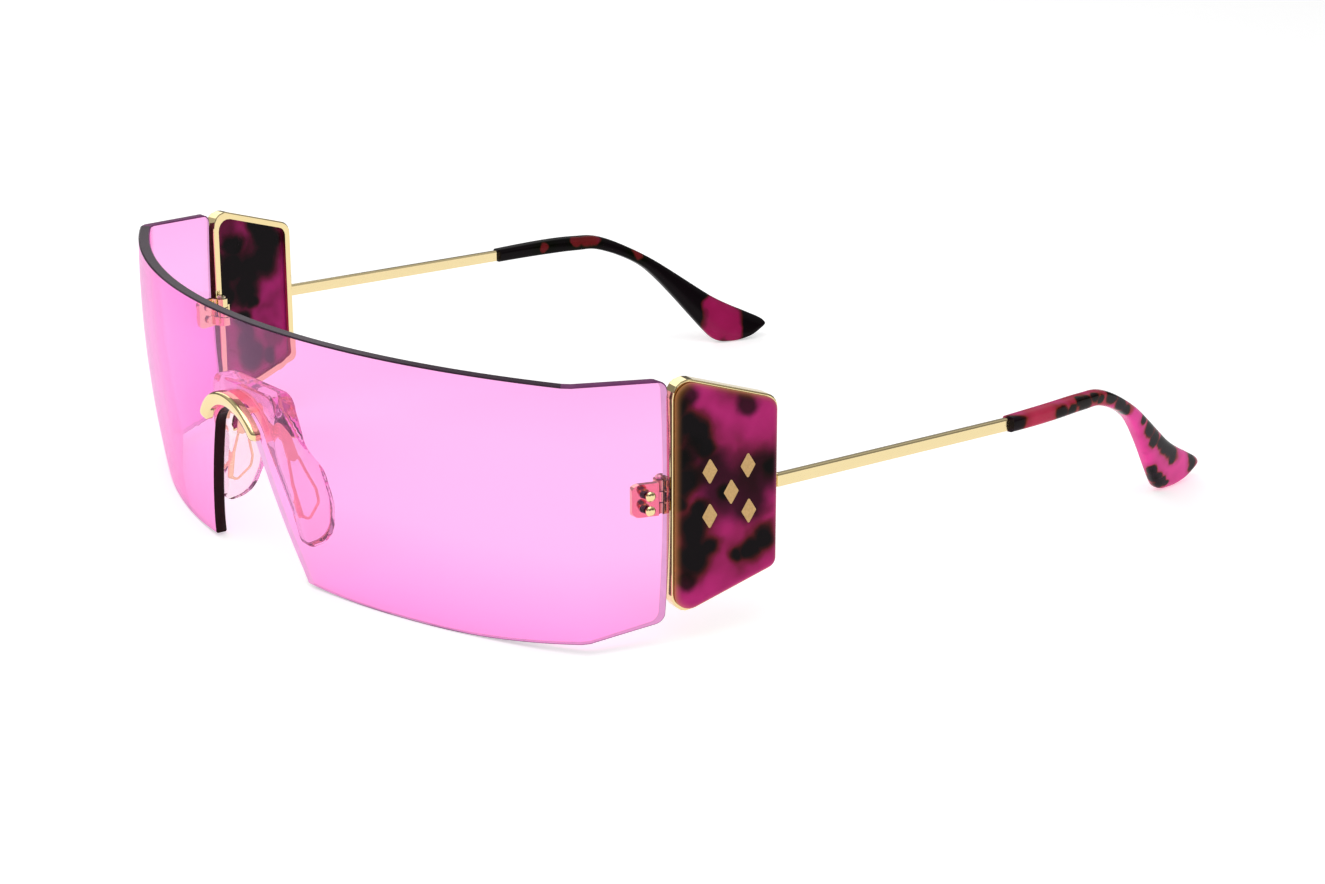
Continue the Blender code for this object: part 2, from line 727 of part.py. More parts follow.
def make_hinge_screw():
    """Hinge pin with a slotted pan head on the upper knuckle."""
    top = HINGE_TOP_Z + 0.0001
    crown = top + SCREW_HEAD_HEIGHT
    profile = ((0.0, crown), (0.0005, crown - 0.00005), (0.0008, crown - 0.0003),
               (0.00085, top), (PIN_RADIUS, top), (PIN_RADIUS, HINGE_BOTTOM_Z + 0.0003),
               (0.0, HINGE_BOTTOM_Z + 0.0003))
    pin = turned("hinge_screw_left", profile)
    slot = box("slot", (-0.001, -0.00012, top + 0.0003), (0.001, 0.00012, top + 0.001))
    combine(pin, [slot], "DIFFERENCE")
    pin.data.transform(Matrix.Translation((AXIS_X, AXIS_Y, 0)))
    return pin


def make_lens_rivet(name, z):
    """Rivet through the wing and the leaf, with a domed head outside and a flat one inside."""
    grip = LENS_THICKNESS + LEAF_THICKNESS + 3 * GAP
    profile = ((0.0, 0.0004), (0.0003, 0.00038), (0.0006, 0.00028), (RIVET_HEAD, 0.0001),
               (RIVET_HEAD, 0.0), (RIVET_RADIUS, 0.0), (RIVET_RADIUS, -grip),
               (0.0007, -grip), (0.0007, -grip - 0.0002), (0.0, -grip - 0.0003))
    rivet = turned(name, profile)
    normal = wing_normal()
    turn = normal.to_track_quat("Z", "Y").to_matrix().to_4x4()
    place = wing_point(RIVET_Y, z, GAP)
    rivet.data.transform(Matrix.Translation(place) @ turn)
    return rivet


# ---- side panel ------------------------------------------------------------------------------
def inset(corners, distance):
    """A convex clockwise polygon with every side moved inwards."""
    count = len(corners)
    lines = []
    for i in range(count):
        a, b = Vector(corners[i]), Vector(corners[(i + 1) % count])
        along = (b - a).normalized()
        inward = Vector((along.y, -along.x))
        lines.append((a + inward * distance, along))
    result = []
    for i in range(count):
        (p, d), (q, e) = lines[i - 1], lines[i]
        cross = d.x * e.y - d.y * e.x
        reach = ((q.x - p.x) * e.y - (q.y - p.y) * e.x) / cross
        result.append(p + d * reach)
    return result


def panel_outline(distance):
    radii = [max(radius - distance * 0.5, 0.0006) for radius in PANEL_CORNER_RADII]
    return rounded(inset(PANEL_CORNERS, distance), radii, 5)


def panel_slab(name, outlines, near, far):
    """A slab in the panel's plane; depths are measured inwards from its outer face."""
    obj = slab(name, outlines, -far, -near, SIDE_VIEW)
    turn = Matrix.Rotation(-PANEL_FLARE, 4, "Z")
    obj.data.transform(Matrix.Translation((PANEL_FRONT_X, PANEL_FRONT_Y, 0)) @ turn)
    return obj


def make_panel_rim():
    """Gold rim: an outer wall and an inner flange that the inlay rests on."""
    rim = panel_slab("panel_rim_left", [panel_outline(0.0)], 0.0, RIM_THICKNESS)
    soften(rim, RIM_BEVEL, 2, math.radians(60))
    window = panel_slab("window", [panel_outline(RIM_FLANGE)], -RIM_THICKNESS, 2 * RIM_THICKNESS)
    recess = panel_slab("recess", [panel_outline(RIM_WALL)], -RIM_THICKNESS, RECESS_DEPTH)
    pocket = cylinder("hinge_room", KNUCKLE_RADIUS + 2 * GAP,
                      (AXIS_X, AXIS_Y, HINGE_BOTTOM_Z - GAP),
                      (AXIS_X, AXIS_Y, HINGE_TOP_Z + SCREW_HEAD_HEIGHT + 2 * GAP), 24)
    return combine(rim, [window, recess, pocket], "DIFFERENCE")


def make_panel_inlay():
    """Acetate slab bevelled all round: a plug in the recess and a lip over the rim's face."""
    inlay = panel_slab("panel_inlay_left", [panel_outline(INLAY_LIP)], -INLAY_PROUD, -GAP / 2)
    soften(inlay, INLAY_BEVEL, 2, math.radians(60))
    plug = panel_slab("plug", [panel_outline(RIM_WALL + GAP)], -INLAY_PROUD / 2,
                      RECESS_DEPTH - GAP)
    return combine(inlay, [plug], "UNION")


# ---- temples ---------------------------------------------------------------------------------
def bar_front():
    return panel_place(PANEL_CORNERS[1][0] + GAP, 0.0, 0.0).y


def make_temple_bar():
    """Flat bar from the rim to the tip, and the thinner core that runs on inside the tip."""
    half = BAR_THICKNESS / 2
    bar = box("temple_bar_left", (BAR_X - half, bar_front(), BAR_Z - BAR_HEIGHT / 2),
              (BAR_X + half, TIP_START_Y - GAP, BAR_Z + BAR_HEIGHT / 2))
    soften(bar, 0.0003, 2)
    core = core_bar("core", TIP_START_Y - 0.002, CORE_END_Y - GAP, 0.0)
    return combine(bar, [core], "UNION")


def core_bar(name, start, end, grow):
    """The core inside the tip, which bends inwards with it; grown, it is the tip's bore."""
    wide = CORE_WIDTH / 2 + grow
    tall = CORE_HEIGHT / 2 + grow
    rings = []
    steps = 6
    for i in range(steps + 1):
        y = start + (end - start) * i / steps
        x = tip_plan(max(y, TIP_START_Y), BAR_Z)
        rings.append([Vector((x + side * wide, y, BAR_Z + rise * tall))
                      for side, rise in ((-1, -1), (1, -1), (1, 1), (-1, 1))])
    return loft(name, rings)


def tip_plan(y, z):
    """Sideways place of the tip's middle: straight behind the bar, then bending inwards."""
    leaning = BAR_X - TIP_INWARD * (y - TIP_BEND_Y) + TIP_TWIST * (z - BAR_Z)
    blend = 0.0006
    gap = (BAR_X - leaning) / 2
    return (BAR_X + leaning) / 2 - math.sqrt(gap * gap + blend * blend) + blend / 2


def tip_edges():
    """Upper and lower edge of the tip in side view, smoothed between the stations."""
    points = [[Vector(p) for p in edge] for edge in zip(*TIP_STATIONS)]
    edges = []
    for edge in points:
        line = [edge[0]]
        padded = [edge[0]] + edge + [edge[-1]]
        for a, b, c, d in zip(padded, padded[1:], padded[2:], padded[3:]):
            line += [(9 * (b + c) - a - d) / 16, c]
        edges.append(line)
    return list(zip(*edges))


def make_temple_tip():
    """Acetate tip, lofted along its two edges, with an open bore for the bar's core."""
    rings = []
    edges = tip_edges()
    last = len(edges) - 1
    for number, (top, bottom) in enumerate(edges):
        thickness = TIP_THICKNESS * (1.0 if 0 < number < last - 1 else 0.9)
        if number == last:
            thickness = TIP_THICKNESS * 0.5
        middle = (top + bottom) / 2
        reach = (top - bottom) / 2
        ring = []
        for i in range(12):
            angle = math.tau * (i + 0.5) / 12
            # a squared-off oval
            side = math.copysign(abs(math.cos(angle)) ** 0.55, math.cos(angle))
            rise = math.copysign(abs(math.sin(angle)) ** 0.55, math.sin(angle))
            peak = abs(math.sin(math.tau * 2.5 / 12)) ** 0.55
            point = middle + reach * rise / peak
            x = tip_plan(point.x, point.y) + side * thickness / 2
            ring.append(Vector((x, point.x, point.y)))
        rings.append(ring)
    tip = loft("temple_tip_left", rings)
    bore = core_bar("bore", TIP_START_Y - 0.002, CORE_END_Y, GAP)
    return combine(tip, [bore], "DIFFERENCE")


# ---- assembly --------------------------------------------------------------------------------
def build():
    gold = material("polished_gold", (0.80, 0.62, 0.32), 0.18, metallic=1.0)
    steel = material("screw_steel", (0.75, 0.70, 0.62), 0.25, metallic=1.0)
    pink_lens = material("pink_lens", (0.95, 0.35, 0.75), 0.05, transmission=0.8)
    clear = material("clear_silicone", (0.96, 0.90, 0.92), 0.15, transmission=0.8)
    tortoise = material("pink_tortoise", (0.50, 0.06, 0.22), 0.15)

    root = holder("sunglasses", (0.0, 0.0, 0.0))
    root.location.y = assembly_y()
    left = holder("hinge_axis_left", (AXIS_X, AXIS_Y, 0.0), root)
    right = holder("hinge_axis_right", (-AXIS_X, AXIS_Y, 0.0), root)

    finish(make_lens(), pink_lens, root)
    finish(make_bridge_clip(), gold, root)
    finish(make_nose_insert(), gold, root)
    finish(make_nose_saddle(), clear, root)
    for sign, side in ((-1, "right"), (1, "left")):
        name = "bridge_screw_" + side
        finish(make_bridge_screw(sign, name), steel, root)

    fixed = [finish(make_hinge_front(), gold, root), finish(make_hinge_screw(), steel, root)]
    for z, level in zip(RIVET_Z, ("lower", "upper")):
        rivet = make_lens_rivet("lens_rivet_left_" + level, z)
        fixed.append(finish(rivet, gold, root))
    for obj in fixed:
        mirrored(obj, obj.name.replace("left", "right"), root)

    moving = [finish(make_hinge_rear(), gold, left), finish(make_panel_rim(), gold, left),
              finish(make_panel_inlay(), tortoise, left), finish(make_temple_bar(), gold, left),
              finish(make_temple_tip(), tortoise, left)]
    for obj in moving:
        mirrored(obj, obj.name.replace("left", "right"), right)


clear_scene()
PARTS = new_collection("shield_sunglasses")
CUTTERS = new_collection("cutters")
build()
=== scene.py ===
import math

import bmesh
import bpy
from mathutils import Matrix, Vector


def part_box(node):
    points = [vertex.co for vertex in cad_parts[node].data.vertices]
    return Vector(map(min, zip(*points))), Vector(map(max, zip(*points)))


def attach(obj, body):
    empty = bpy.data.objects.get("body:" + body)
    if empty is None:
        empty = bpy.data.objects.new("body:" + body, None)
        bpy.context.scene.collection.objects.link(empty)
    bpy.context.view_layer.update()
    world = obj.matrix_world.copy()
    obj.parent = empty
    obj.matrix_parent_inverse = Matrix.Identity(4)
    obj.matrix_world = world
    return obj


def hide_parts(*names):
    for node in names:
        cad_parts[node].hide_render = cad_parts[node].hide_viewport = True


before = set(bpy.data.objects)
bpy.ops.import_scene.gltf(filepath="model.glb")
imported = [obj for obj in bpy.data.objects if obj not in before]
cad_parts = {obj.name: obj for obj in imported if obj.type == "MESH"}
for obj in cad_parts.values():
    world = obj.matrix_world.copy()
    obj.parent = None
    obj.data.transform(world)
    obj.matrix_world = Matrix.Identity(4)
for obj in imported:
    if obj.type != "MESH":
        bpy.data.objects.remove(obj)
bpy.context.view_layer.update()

# ---- sizes shared with the CAD, in metres, in the hinge frame ---------------------------------
GAP = 0.0003
LENS_HEIGHT = 0.0433
LENS_THICKNESS = 0.0020
FACE_RADIUS = 0.1315
FACE_FRONT_Y = -0.0345
FOLD_X = 0.0682
WING_ANGLE = math.radians(74.5)
LENS_LEAN = 0.0035
LENS_BULGE = 0.0012
FLAT_INNER_X = 0.033
FLAT_OUTER_X = 0.043
EDGE_RISE_INNER = 1.85
EDGE_RISE_OUTER = 3.2
WING_TOP_DROP = 0.0006
WING_BOTTOM_RISE = 0.0021
WING_CORNER = 0.0014
LENS_CHAMFER = 0.00022
NOTCH_RADIUS = 0.0075
NOTCH_CENTRE_Z = 0.0198
NOTCH_FLARE = math.radians(21.7)
CLIP_RADIUS = 0.0094
CLIP_HALF_ANGLE = math.radians(64)
CLIP_WIDTH = 0.0023
CLIP_DEPTH = 0.0016
INSERT_WIDTH = 0.0018
INSERT_HALF_ANGLE = math.radians(66)
PAD_THICKNESS = 0.0026
PAD_SETBACK = 0.0013
SADDLE_TOP_Z = 0.0313
SADDLE_SHOULDER_X = 0.0102
SADDLE_FRONT_Y = -0.0312
RIVET_RADIUS = 0.0005
RIVET_Y = -0.0033
RIVET_Z = (0.0229, 0.0252)
PANEL_FRONT_X = 0.0731
PANEL_FRONT_Y = 0.00035
PANEL_FLARE = math.atan(3.05 / 18.35)
PANEL_CORNERS = ((0.0, 0.0436), (0.0183, 0.0380), (0.0183, 0.0108), (0.0, 0.0047))
PANEL_CORNER_RADII = (0.0028, 0.0024, 0.0018, 0.0028)
RIM_WALL = 0.0007
RECESS_DEPTH = 0.0018
INLAY_PROUD = 0.0010
INLAY_LIP = 0.0004
BAR_Z = 0.0242
BAR_X = 0.0753
TIP_START_Y = 0.0682
TIP_THICKNESS = 0.0031
TIP_REAR_Y = 0.1291
TIP_INWARD = 0.177
TIP_TWIST = 0.193
TIP_BEND_Y = 0.0782
TIP_STATIONS = (((TIP_START_Y, 0.02555), (TIP_START_Y, 0.02290)),
                ((0.0800, 0.02590), (0.0800, 0.02305)),
                ((0.0880, 0.02580), (0.0874, 0.02305)),
                ((0.0938, 0.02480), (0.0926, 0.02240)),
                ((0.1040, 0.01935), (0.1021, 0.01755)),
                ((0.1165, 0.01035), (0.1110, 0.00720)),
                ((0.1238, 0.00640), (0.1160, 0.00120)),
                ((0.1268, 0.00490), (0.1195, 0.00010)),
                ((0.1284, 0.00390), (0.1225, 0.00020)),
                ((TIP_REAR_Y, 0.00300), (0.1252, 0.00080)))
EMBLEM = ((0.0060, 0.0280), (0.0126, 0.0280), (0.0097, 0.0242), (0.0060, 0.0209),
          (0.0128, 0.0207))
EMBLEM_SIZE = 0.0021

# ---- sizes of the fine surface, in metres, with its counts, shares and angles ----------------
HAIR = 0.0001
HOLE_WALL_SIDES = 20
CLIP_STEPS = 64
PAD_FOOT_Z = 0.0058
PAD_BEND_Z = 0.0205
SADDLE_BLOCK_DEPTH = (0.018, 0.036)
SADDLE_BLOCK_HALF_WIDTH = 0.03
INSERT_CONTACT = (0.0095, 0.0225)
SADDLE_VOXEL = 0.00022
SADDLE_SMOOTHING = 26
PLATE_THICKNESS = 0.0008
STRIP_THICKNESS = 0.0006
WIRE_RADIUS = 0.00024
INLAY_BEVEL = 0.0009
INLAY_BEVEL_RISE = 0.62 * INLAY_BEVEL
INLAY_EDGE_FADE = 0.0004
EMBLEM_SINK = 0.00005
EMBLEM_PROUD = 0.00002
TIP_SIDES = 36
TIP_SQUARENESS = 0.6
TIP_BEND_BLEND = 0.0006
HINGE_EDGE = 0.0001
SCREW_EDGE = 0.00005
RIVET_EDGE = 0.00006
BAR_EDGE = 0.00008
RIM_EDGE = 0.00012
SHARP_ANGLE = math.radians(40)
SMALLEST_CORNER = 0.0006
# acetate: how far the noise bends a blotch, how softly blotches join, the painted highlight on
# the bevel, and where the bevel gets a painted reflection of the gold rim: this far behind the
# front of the panel, and at this height
BLOTCH_WARP = 0.0032
BLOTCH_BLEND = 0.6
BEVEL_FADE = 2.2
BEVEL_LIGHT_STRENGTH = 0.6
RIM_REFLECTION_BEHIND = (0.012, 0.001)
RIM_REFLECTION_HEIGHT = (0.034, 0.038)

# the lens's rear edge is y = 0 in the hinge frame and the far side of the lens's box here
SHIFT = Vector((0.0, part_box("lens_shield")[1].y, 0.0))


# ---- node graphs ------------------------------------------------------------------------------
class Graph:
    """A material's node tree, built one node at a time."""

    def __init__(self, name):
        self.material = bpy.data.materials.new(name)
        self.material.use_nodes = True
        self.tree = self.material.node_tree
        self.tree.nodes.clear()
        self.output = self.tree.nodes.new("ShaderNodeOutputMaterial")

    def add(self, kind, values=None, **settings):
        node = self.tree.nodes.new("ShaderNode" + kind)
        for name, value in settings.items():
            setattr(node, name, value)
        for name, value in (values or {}).items():
            self.feed(node.inputs[name], value)
        return node

    def feed(self, target, value):
        if isinstance(value, bpy.types.NodeSocket):
            self.tree.links.new(value, target)
        else:
            target.default_value = value

    def coords(self):
        return self.add("TexCoord").outputs["Object"]

    def noise(self, vector, scale, detail, roughness=0.5):
        return self.add("TexNoise", {"Vector": vector, "Scale": scale, "Detail": detail,
                                     "Roughness": roughness})

    def math(self, operation, *values):
        node = self.add("Math", operation=operation)
        for target, value in zip(node.inputs, values):
            self.feed(target, value)
        return node.outputs[0]

    def ramp(self, factor, stops):
        node = self.add("ValToRGB", {"Fac": factor})
        ramp = node.color_ramp
        while len(ramp.elements) < len(stops):
            ramp.elements.new(0.5)
        for element, (place, colour) in zip(ramp.elements, stops):
            element.position = place
            element.color = (*colour, 1.0)
        return node.outputs["Color"]

    def scale(self, factor, low, high):
        node = self.add("MapRange", {"Value": factor, "To Min": low, "To Max": high})
        return node.outputs["Result"]

    def mix(self, factor, a, b, blend="MIX"):
        node = self.add("Mix", data_type="RGBA", blend_type=blend)
        self.feed(node.inputs["Factor"], factor)
        for target, colour in ((node.inputs[6], a), (node.inputs[7], b)):
            self.feed(target, (*colour, 1.0) if isinstance(colour, tuple) else colour)
        return node.outputs[2]

    def bump(self, height, strength, distance):
        node = self.add("Bump", {"Height": height, "Strength": strength, "Distance": distance})
        return node.outputs["Normal"]

    def finish(self, surface):
        self.tree.links.new(surface, self.output.inputs["Surface"])
        return self.material


def gold(name, colour, rough_low, rough_high, metallic=1.0, glow=0.0):
    """Polished plating: slightly uneven colour, fine wear in the roughness, faint ripples.

    glow stands for light that clear silicone gathers on metal inside it.
    """
    g = Graph(name)
    place = g.coords()
    patches = g.noise(place, 260.0, 3.0).outputs["Fac"]
    grain = g.noise(place, 5200.0, 2.0).outputs["Fac"]
    dark = tuple(c * 0.95 for c in colour)
    tint = g.mix(patches, dark, colour)
    rough = g.scale(g.math("MULTIPLY", patches, grain), rough_low, rough_high)
    normal = g.bump(grain, 0.02, 0.00002)
    shader = g.add("BsdfPrincipled", {"Base Color": tint, "Roughness": rough,
                                      "Metallic": metallic, "Normal": normal,
                                      "Emission Color": (*colour, 1.0),
                                      "Emission Strength": glow})
    return g.finish(shader.outputs[0])


def see_through(name, shade, slant, ior, rough, ripple):
    """Clear or tinted sheet that lets lamps through.

    shade is a ramp over the height; slant multiplies the tint where the sheet is seen edgeways
    and the light's path through it is longer.
    """
    g = Graph(name)
    place = g.coords()
    height = g.add("SeparateXYZ", {"Vector": place}).outputs["Z"]
    level = g.add("MapRange", {"Value": height, "From Min": 0.0, "From Max": LENS_HEIGHT})
    cloud = g.noise(place, 22.0, 1.0).outputs["Fac"]
    wander = g.math("MULTIPLY_ADD", cloud, 0.16, -0.08)
    tint = g.ramp(g.math("ADD", level.outputs["Result"], wander), shade)
    facing = g.add("LayerWeight", {"Blend": 0.5}).outputs["Facing"]
    share = g.add("MapRange", {"Value": facing, "From Min": 0.45, "From Max": 0.95},
                  interpolation_type="SMOOTHSTEP").outputs["Result"]
    tint = g.mix(share, tint, slant, "MULTIPLY")
    wave = g.noise(place, 150.0, 1.0).outputs["Fac"]
    normal = g.bump(wave, 0.3, ripple)
    glass = g.add("BsdfGlass", {"Color": tint, "Roughness": rough, "IOR": ior, "Normal": normal})
    clear = g.add("BsdfTransparent", {"Color": tint})
    shadow = g.add("LightPath").outputs["Is Shadow Ray"]
    both = g.add("MixShader", {0: shadow, 1: glass.outputs[0], 2: clear.outputs[0]})
    return g.finish(both.outputs[0])


def lens_edge(name, dark, light, inside):
    """Cut lens edge: the tint piles up along the sheet, so from outside it looks dark, while
    from inside the sheet it is lit."""
    g = Graph(name)
    place = g.coords()
    streak = g.noise(place, 500.0, 2.0).outputs["Fac"]
    grain = g.noise(place, 3000.0, 2.0).outputs["Fac"]
    rough = g.scale(grain, 0.12, 0.3)
    outer = g.add("BsdfPrincipled", {"Base Color": g.mix(streak, dark, light),
                                     "Roughness": rough, "Specular IOR Level": 0.05})
    inner = g.add("BsdfTransparent", {"Color": g.mix(streak, inside, tuple(
        c * 0.8 for c in inside))})
    behind = g.add("NewGeometry").outputs["Backfacing"]
    both = g.add("MixShader", {0: behind, 1: outer.outputs[0], 2: inner.outputs[0]})
    return g.finish(both.outputs[0])


def spot_field(g, place, spots, field, blend):
    """Smoothly joined distance to the nearest spot, in spot radii."""
    for x, y, z, radius in spots:
        spot = Vector((x, y, z)) + SHIFT
        away = g.add("VectorMath", {0: place, 1: spot}, operation="DISTANCE").outputs["Value"]
        field = g.math("SMOOTH_MIN", field, g.math("DIVIDE", away, radius), blend)
    return field


def tortoise(name, spots, levels, offset, wander_range, veils, veil):
    """Acetate with soft blotches at given places, plus small wandering ones.

    spots and veils are (x, y, z, radius) in the hinge frame; levels are the ramp stops from the
    middle of a spot outwards; the veils are wide soft zones that multiply the tint by veil.
    The mesh attribute "edge" is 1 on a polished bevel, where painted light lifts the tint: a
    painted reflection of the gold rim at the front and the top, placed by position, and a painted
    pale pink highlight elsewhere.
    """
    g = Graph(name)
    place = g.coords()
    warp = g.noise(place, 200.0, 2.5, 0.5).outputs["Color"]
    shift = g.add("VectorMath", {0: warp, 1: (0.5, 0.5, 0.5)}, operation="SUBTRACT").outputs[0]
    push = g.add("VectorMath", {0: shift, "Scale": BLOTCH_WARP}, operation="SCALE").outputs[0]
    bent = g.add("VectorMath", {0: place, 1: push}, operation="ADD").outputs[0]
    moved = g.add("VectorMath", {0: bent, 1: offset}, operation="ADD").outputs[0]
    wander = g.noise(moved, 130.0, 2.0, 0.45).outputs["Fac"]
    field = spot_field(g, bent, spots, g.scale(wander, *wander_range), BLOTCH_BLEND)
    tint = g.ramp(g.math("MULTIPLY", field, 0.5), levels)
    haze = spot_field(g, bent, veils, 3.0, BLOTCH_BLEND)
    share = g.add("MapRange", {"Value": haze, "From Min": 0.55, "From Max": 1.5, "To Min": 0.95,
                               "To Max": 0.0}, interpolation_type="SMOOTHSTEP").outputs["Result"]
    tint = g.mix(share, tint, veil, "MULTIPLY")
    depth = g.noise(moved, 60.0, 1.0).outputs["Fac"]
    tint = g.mix(depth, tint, (0.72, 0.62, 0.72), "MULTIPLY")
    # painted light on the bevel: a painted reflection of the gold rim towards the front and the
    # top, and a painted pale pink highlight elsewhere
    split = g.add("SeparateXYZ", {"Vector": place}).outputs
    forward = g.add("MapRange", {"Value": split["Y"], "From Min": SHIFT.y + RIM_REFLECTION_BEHIND[0],
                                 "From Max": SHIFT.y + RIM_REFLECTION_BEHIND[1]}).outputs["Result"]
    upward = g.add("MapRange", {"Value": split["Z"], "From Min": RIM_REFLECTION_HEIGHT[0],
                                "From Max": RIM_REFLECTION_HEIGHT[1]}).outputs["Result"]
    rim_reflection = g.math("MAXIMUM", forward, upward)
    painted_bevel_light = g.mix(rim_reflection, (1.0, 0.22, 0.38), (0.70, 0.30, 0.10))
    edge = g.add("Attribute", attribute_name="edge").outputs["Fac"]
    bevel_light_share = g.math("MULTIPLY", g.math("POWER", edge, BEVEL_FADE), BEVEL_LIGHT_STRENGTH)
    tint = g.mix(bevel_light_share, tint, painted_bevel_light)
    fine = g.noise(place, 900.0, 2.0).outputs["Fac"]
    shader = g.add("BsdfPrincipled", {"Base Color": tint, "Roughness": g.scale(fine, 0.10, 0.2),
                                      "Specular IOR Level": 0.05, "Coat Weight": 0.08,
                                      "Coat Roughness": 0.04, "Coat IOR": 1.35})
    return g.finish(shader.outputs[0])


def foil(name):
    """Gold foil pressed into the acetate: a fine grain breaks up the shine."""
    g = Graph(name)
    place = g.coords()
    grain = g.noise(place, 3500.0, 3.0).outputs["Fac"]
    tint = g.mix(grain, (0.42, 0.25, 0.09), (0.72, 0.48, 0.22))
    shader = g.add("BsdfPrincipled", {"Base Color": tint, "Metallic": 0.75,
                                      "Roughness": g.scale(grain, 0.3, 0.5),
                                      "Normal": g.bump(grain, 0.4, 0.00003)})
    return g.finish(shader.outputs[0])


BLACK = (0.005, 0.003, 0.004)
BROWN = (0.09, 0.010, 0.010)
MAROON = (0.17, 0.010, 0.04)
BERRY = (0.52, 0.024, 0.18)
MAGENTA = (0.74, 0.038, 0.28)
HOT_PINK = (0.98, 0.070, 0.40)

GOLD = gold("pale_gold", (0.86, 0.70, 0.37), 0.05, 0.16)
SATIN_GOLD = gold("satin_gold", (0.84, 0.69, 0.38), 0.12, 0.24)
ROSE_GOLD = gold("rose_gold", (1.0, 0.66, 0.46), 0.20, 0.40, 0.30, 0.28)
STEEL = gold("gold_steel", (0.80, 0.72, 0.50), 0.12, 0.30)
LENS_TOP_TINT = (0.995, 0.685, 0.915)
LENS_LOW_TINT = (0.995, 0.61, 0.87)
LENS = see_through("pink_lens",
                   ((0.0, LENS_LOW_TINT), (0.40, LENS_TOP_TINT), (0.80, LENS_TOP_TINT),
                    (1.0, (0.99, 0.66, 0.90))), (0.975, 0.90, 0.92), 1.45, 0.0, 0.00001)
# the silicone's tint deepens from the pads up to the crown: a painted deepening that stands in
# for the darker refractions in the crown
SILICONE = see_through("clear_silicone",
                       ((0.0, (0.97, 0.91, 0.94)), (0.52, (0.96, 0.88, 0.92)),
                        (0.68, (0.93, 0.78, 0.85)), (1.0, (0.92, 0.76, 0.84))),
                       (0.97, 0.93, 0.95), 1.30, 0.01, 0.00003)
EDGE_TOP = lens_edge("lens_edge_top", (0.030, 0.013, 0.027), (0.060, 0.030, 0.052),
                     (0.60, 0.28, 0.50))
EDGE_NOTCH = lens_edge("lens_edge_notch", (0.010, 0.002, 0.003), (0.025, 0.003, 0.006),
                       (0.86, 0.68, 0.82))
EDGE_SIDE = lens_edge("lens_edge_side", (0.12, 0.025, 0.10), (0.26, 0.07, 0.21),
                      (0.76, 0.52, 0.70))
FOIL = foil("gold_foil")


# ---- mesh helpers -----------------------------------------------------------------------------
def make_object(name, mesh, body, nodes=()):
    obj = bpy.data.objects.new(name, mesh)
    bpy.context.scene.collection.objects.link(obj)
    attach(obj, body)
    if nodes:
        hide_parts(*nodes)
    return obj


def mesh_from(name, verts, faces, materials, indices=None, smooth_angle=35):
    """A mesh from hinge-frame points, moved into the row frame."""
    mesh = bpy.data.meshes.new(name)
    mesh.from_pydata([Vector(v) + SHIFT for v in verts], [], faces)
    for material in materials:
        mesh.materials.append(material)
    if indices:
        mesh.polygons.foreach_set("material_index", indices)
    tidy_normals(mesh, smooth_angle)
    return mesh


def tidy_normals(mesh, smooth_angle):
    bm = bmesh.new()
    bm.from_mesh(mesh)
    bmesh.ops.remove_doubles(bm, verts=bm.verts, dist=0.000002)
    bmesh.ops.recalc_face_normals(bm, faces=bm.faces)
    bm.to_mesh(mesh)
    bm.free()
    mesh.shade_smooth()
    mesh.set_sharp_from_angle(angle=math.radians(smooth_angle))


def flipped(mesh, name, materials=None):
    """The right-hand twin of a left-hand mesh, in the row frame."""
    twin = mesh.copy()
    twin.name = name
    twin.transform(Matrix.Diagonal((-1.0, 1.0, 1.0, 1.0)))
    twin.flip_normals()
    if materials:
        twin.materials.clear()
        for material in materials:
            twin.materials.append(material)
    return twin


def scratch(name, mesh):
    obj = bpy.data.objects.new(name, mesh)
    bpy.context.scene.collection.objects.link(obj)
    return obj


def baked(obj):
    """The object's mesh with its modifiers applied; the object is used up."""
    bpy.context.view_layer.update()
    graph = bpy.context.evaluated_depsgraph_get()
    mesh = bpy.data.meshes.new_from_object(obj.evaluated_get(graph))
    bpy.data.objects.remove(obj, do_unlink=True)
    return mesh


def prism(name, outline, place, near, far):
    """A solid over a closed outline; place(u, v, depth) gives its points."""
    bm = bmesh.new()
    front = [bm.verts.new(Vector(place(u, v, near)) + SHIFT) for u, v in outline]
    back = [bm.verts.new(Vector(place(u, v, far)) + SHIFT) for u, v in outline]
    count = len(outline)
    bm.faces.new(front)
    bm.faces.new(list(reversed(back)))
    for i in range(count):
        j = (i + 1) % count
        bm.faces.new((front[j], front[i], back[i], back[j]))
    bmesh.ops.recalc_face_normals(bm, faces=bm.faces)
    mesh = bpy.data.meshes.new(name)
    bm.to_mesh(mesh)
    bm.free()
    return mesh


def rounded(corners, radii, steps=8):
    """Outline points of a polygon whose corners are arcs of the given radii."""
    points = []
    count = len(corners)
    for i, radius in enumerate(radii):
        corner = Vector(corners[i])
        before = (Vector(corners[i - 1]) - corner).normalized()
        after = (Vector(corners[(i + 1) % count]) - corner).normalized()
        if radius <= 0:
            points.append(corner)
            continue
        half = before.angle(after) / 2
        centre = corner + (before + after).normalized() * radius / math.sin(half)
        start = corner + before * radius / math.tan(half) - centre
        end = corner + after * radius / math.tan(half) - centre
        turn = start.angle_signed(end)
        for step in range(steps + 1):
            spoke = start.copy()
            spoke.rotate(Matrix.Rotation(-turn * step / steps, 2))
            points.append(centre + spoke)
    return points


def rings(number, count, base=0):
    """Faces between rings of count points each, stacked from the vertex number base."""
    faces = []
    for k in range(number - 1):
        near = base + k * count
        far = near + count
        for i in range(count):
            j = (i + 1) % count
            faces.append((near + i, near + j, far + j, far + i))
    return faces


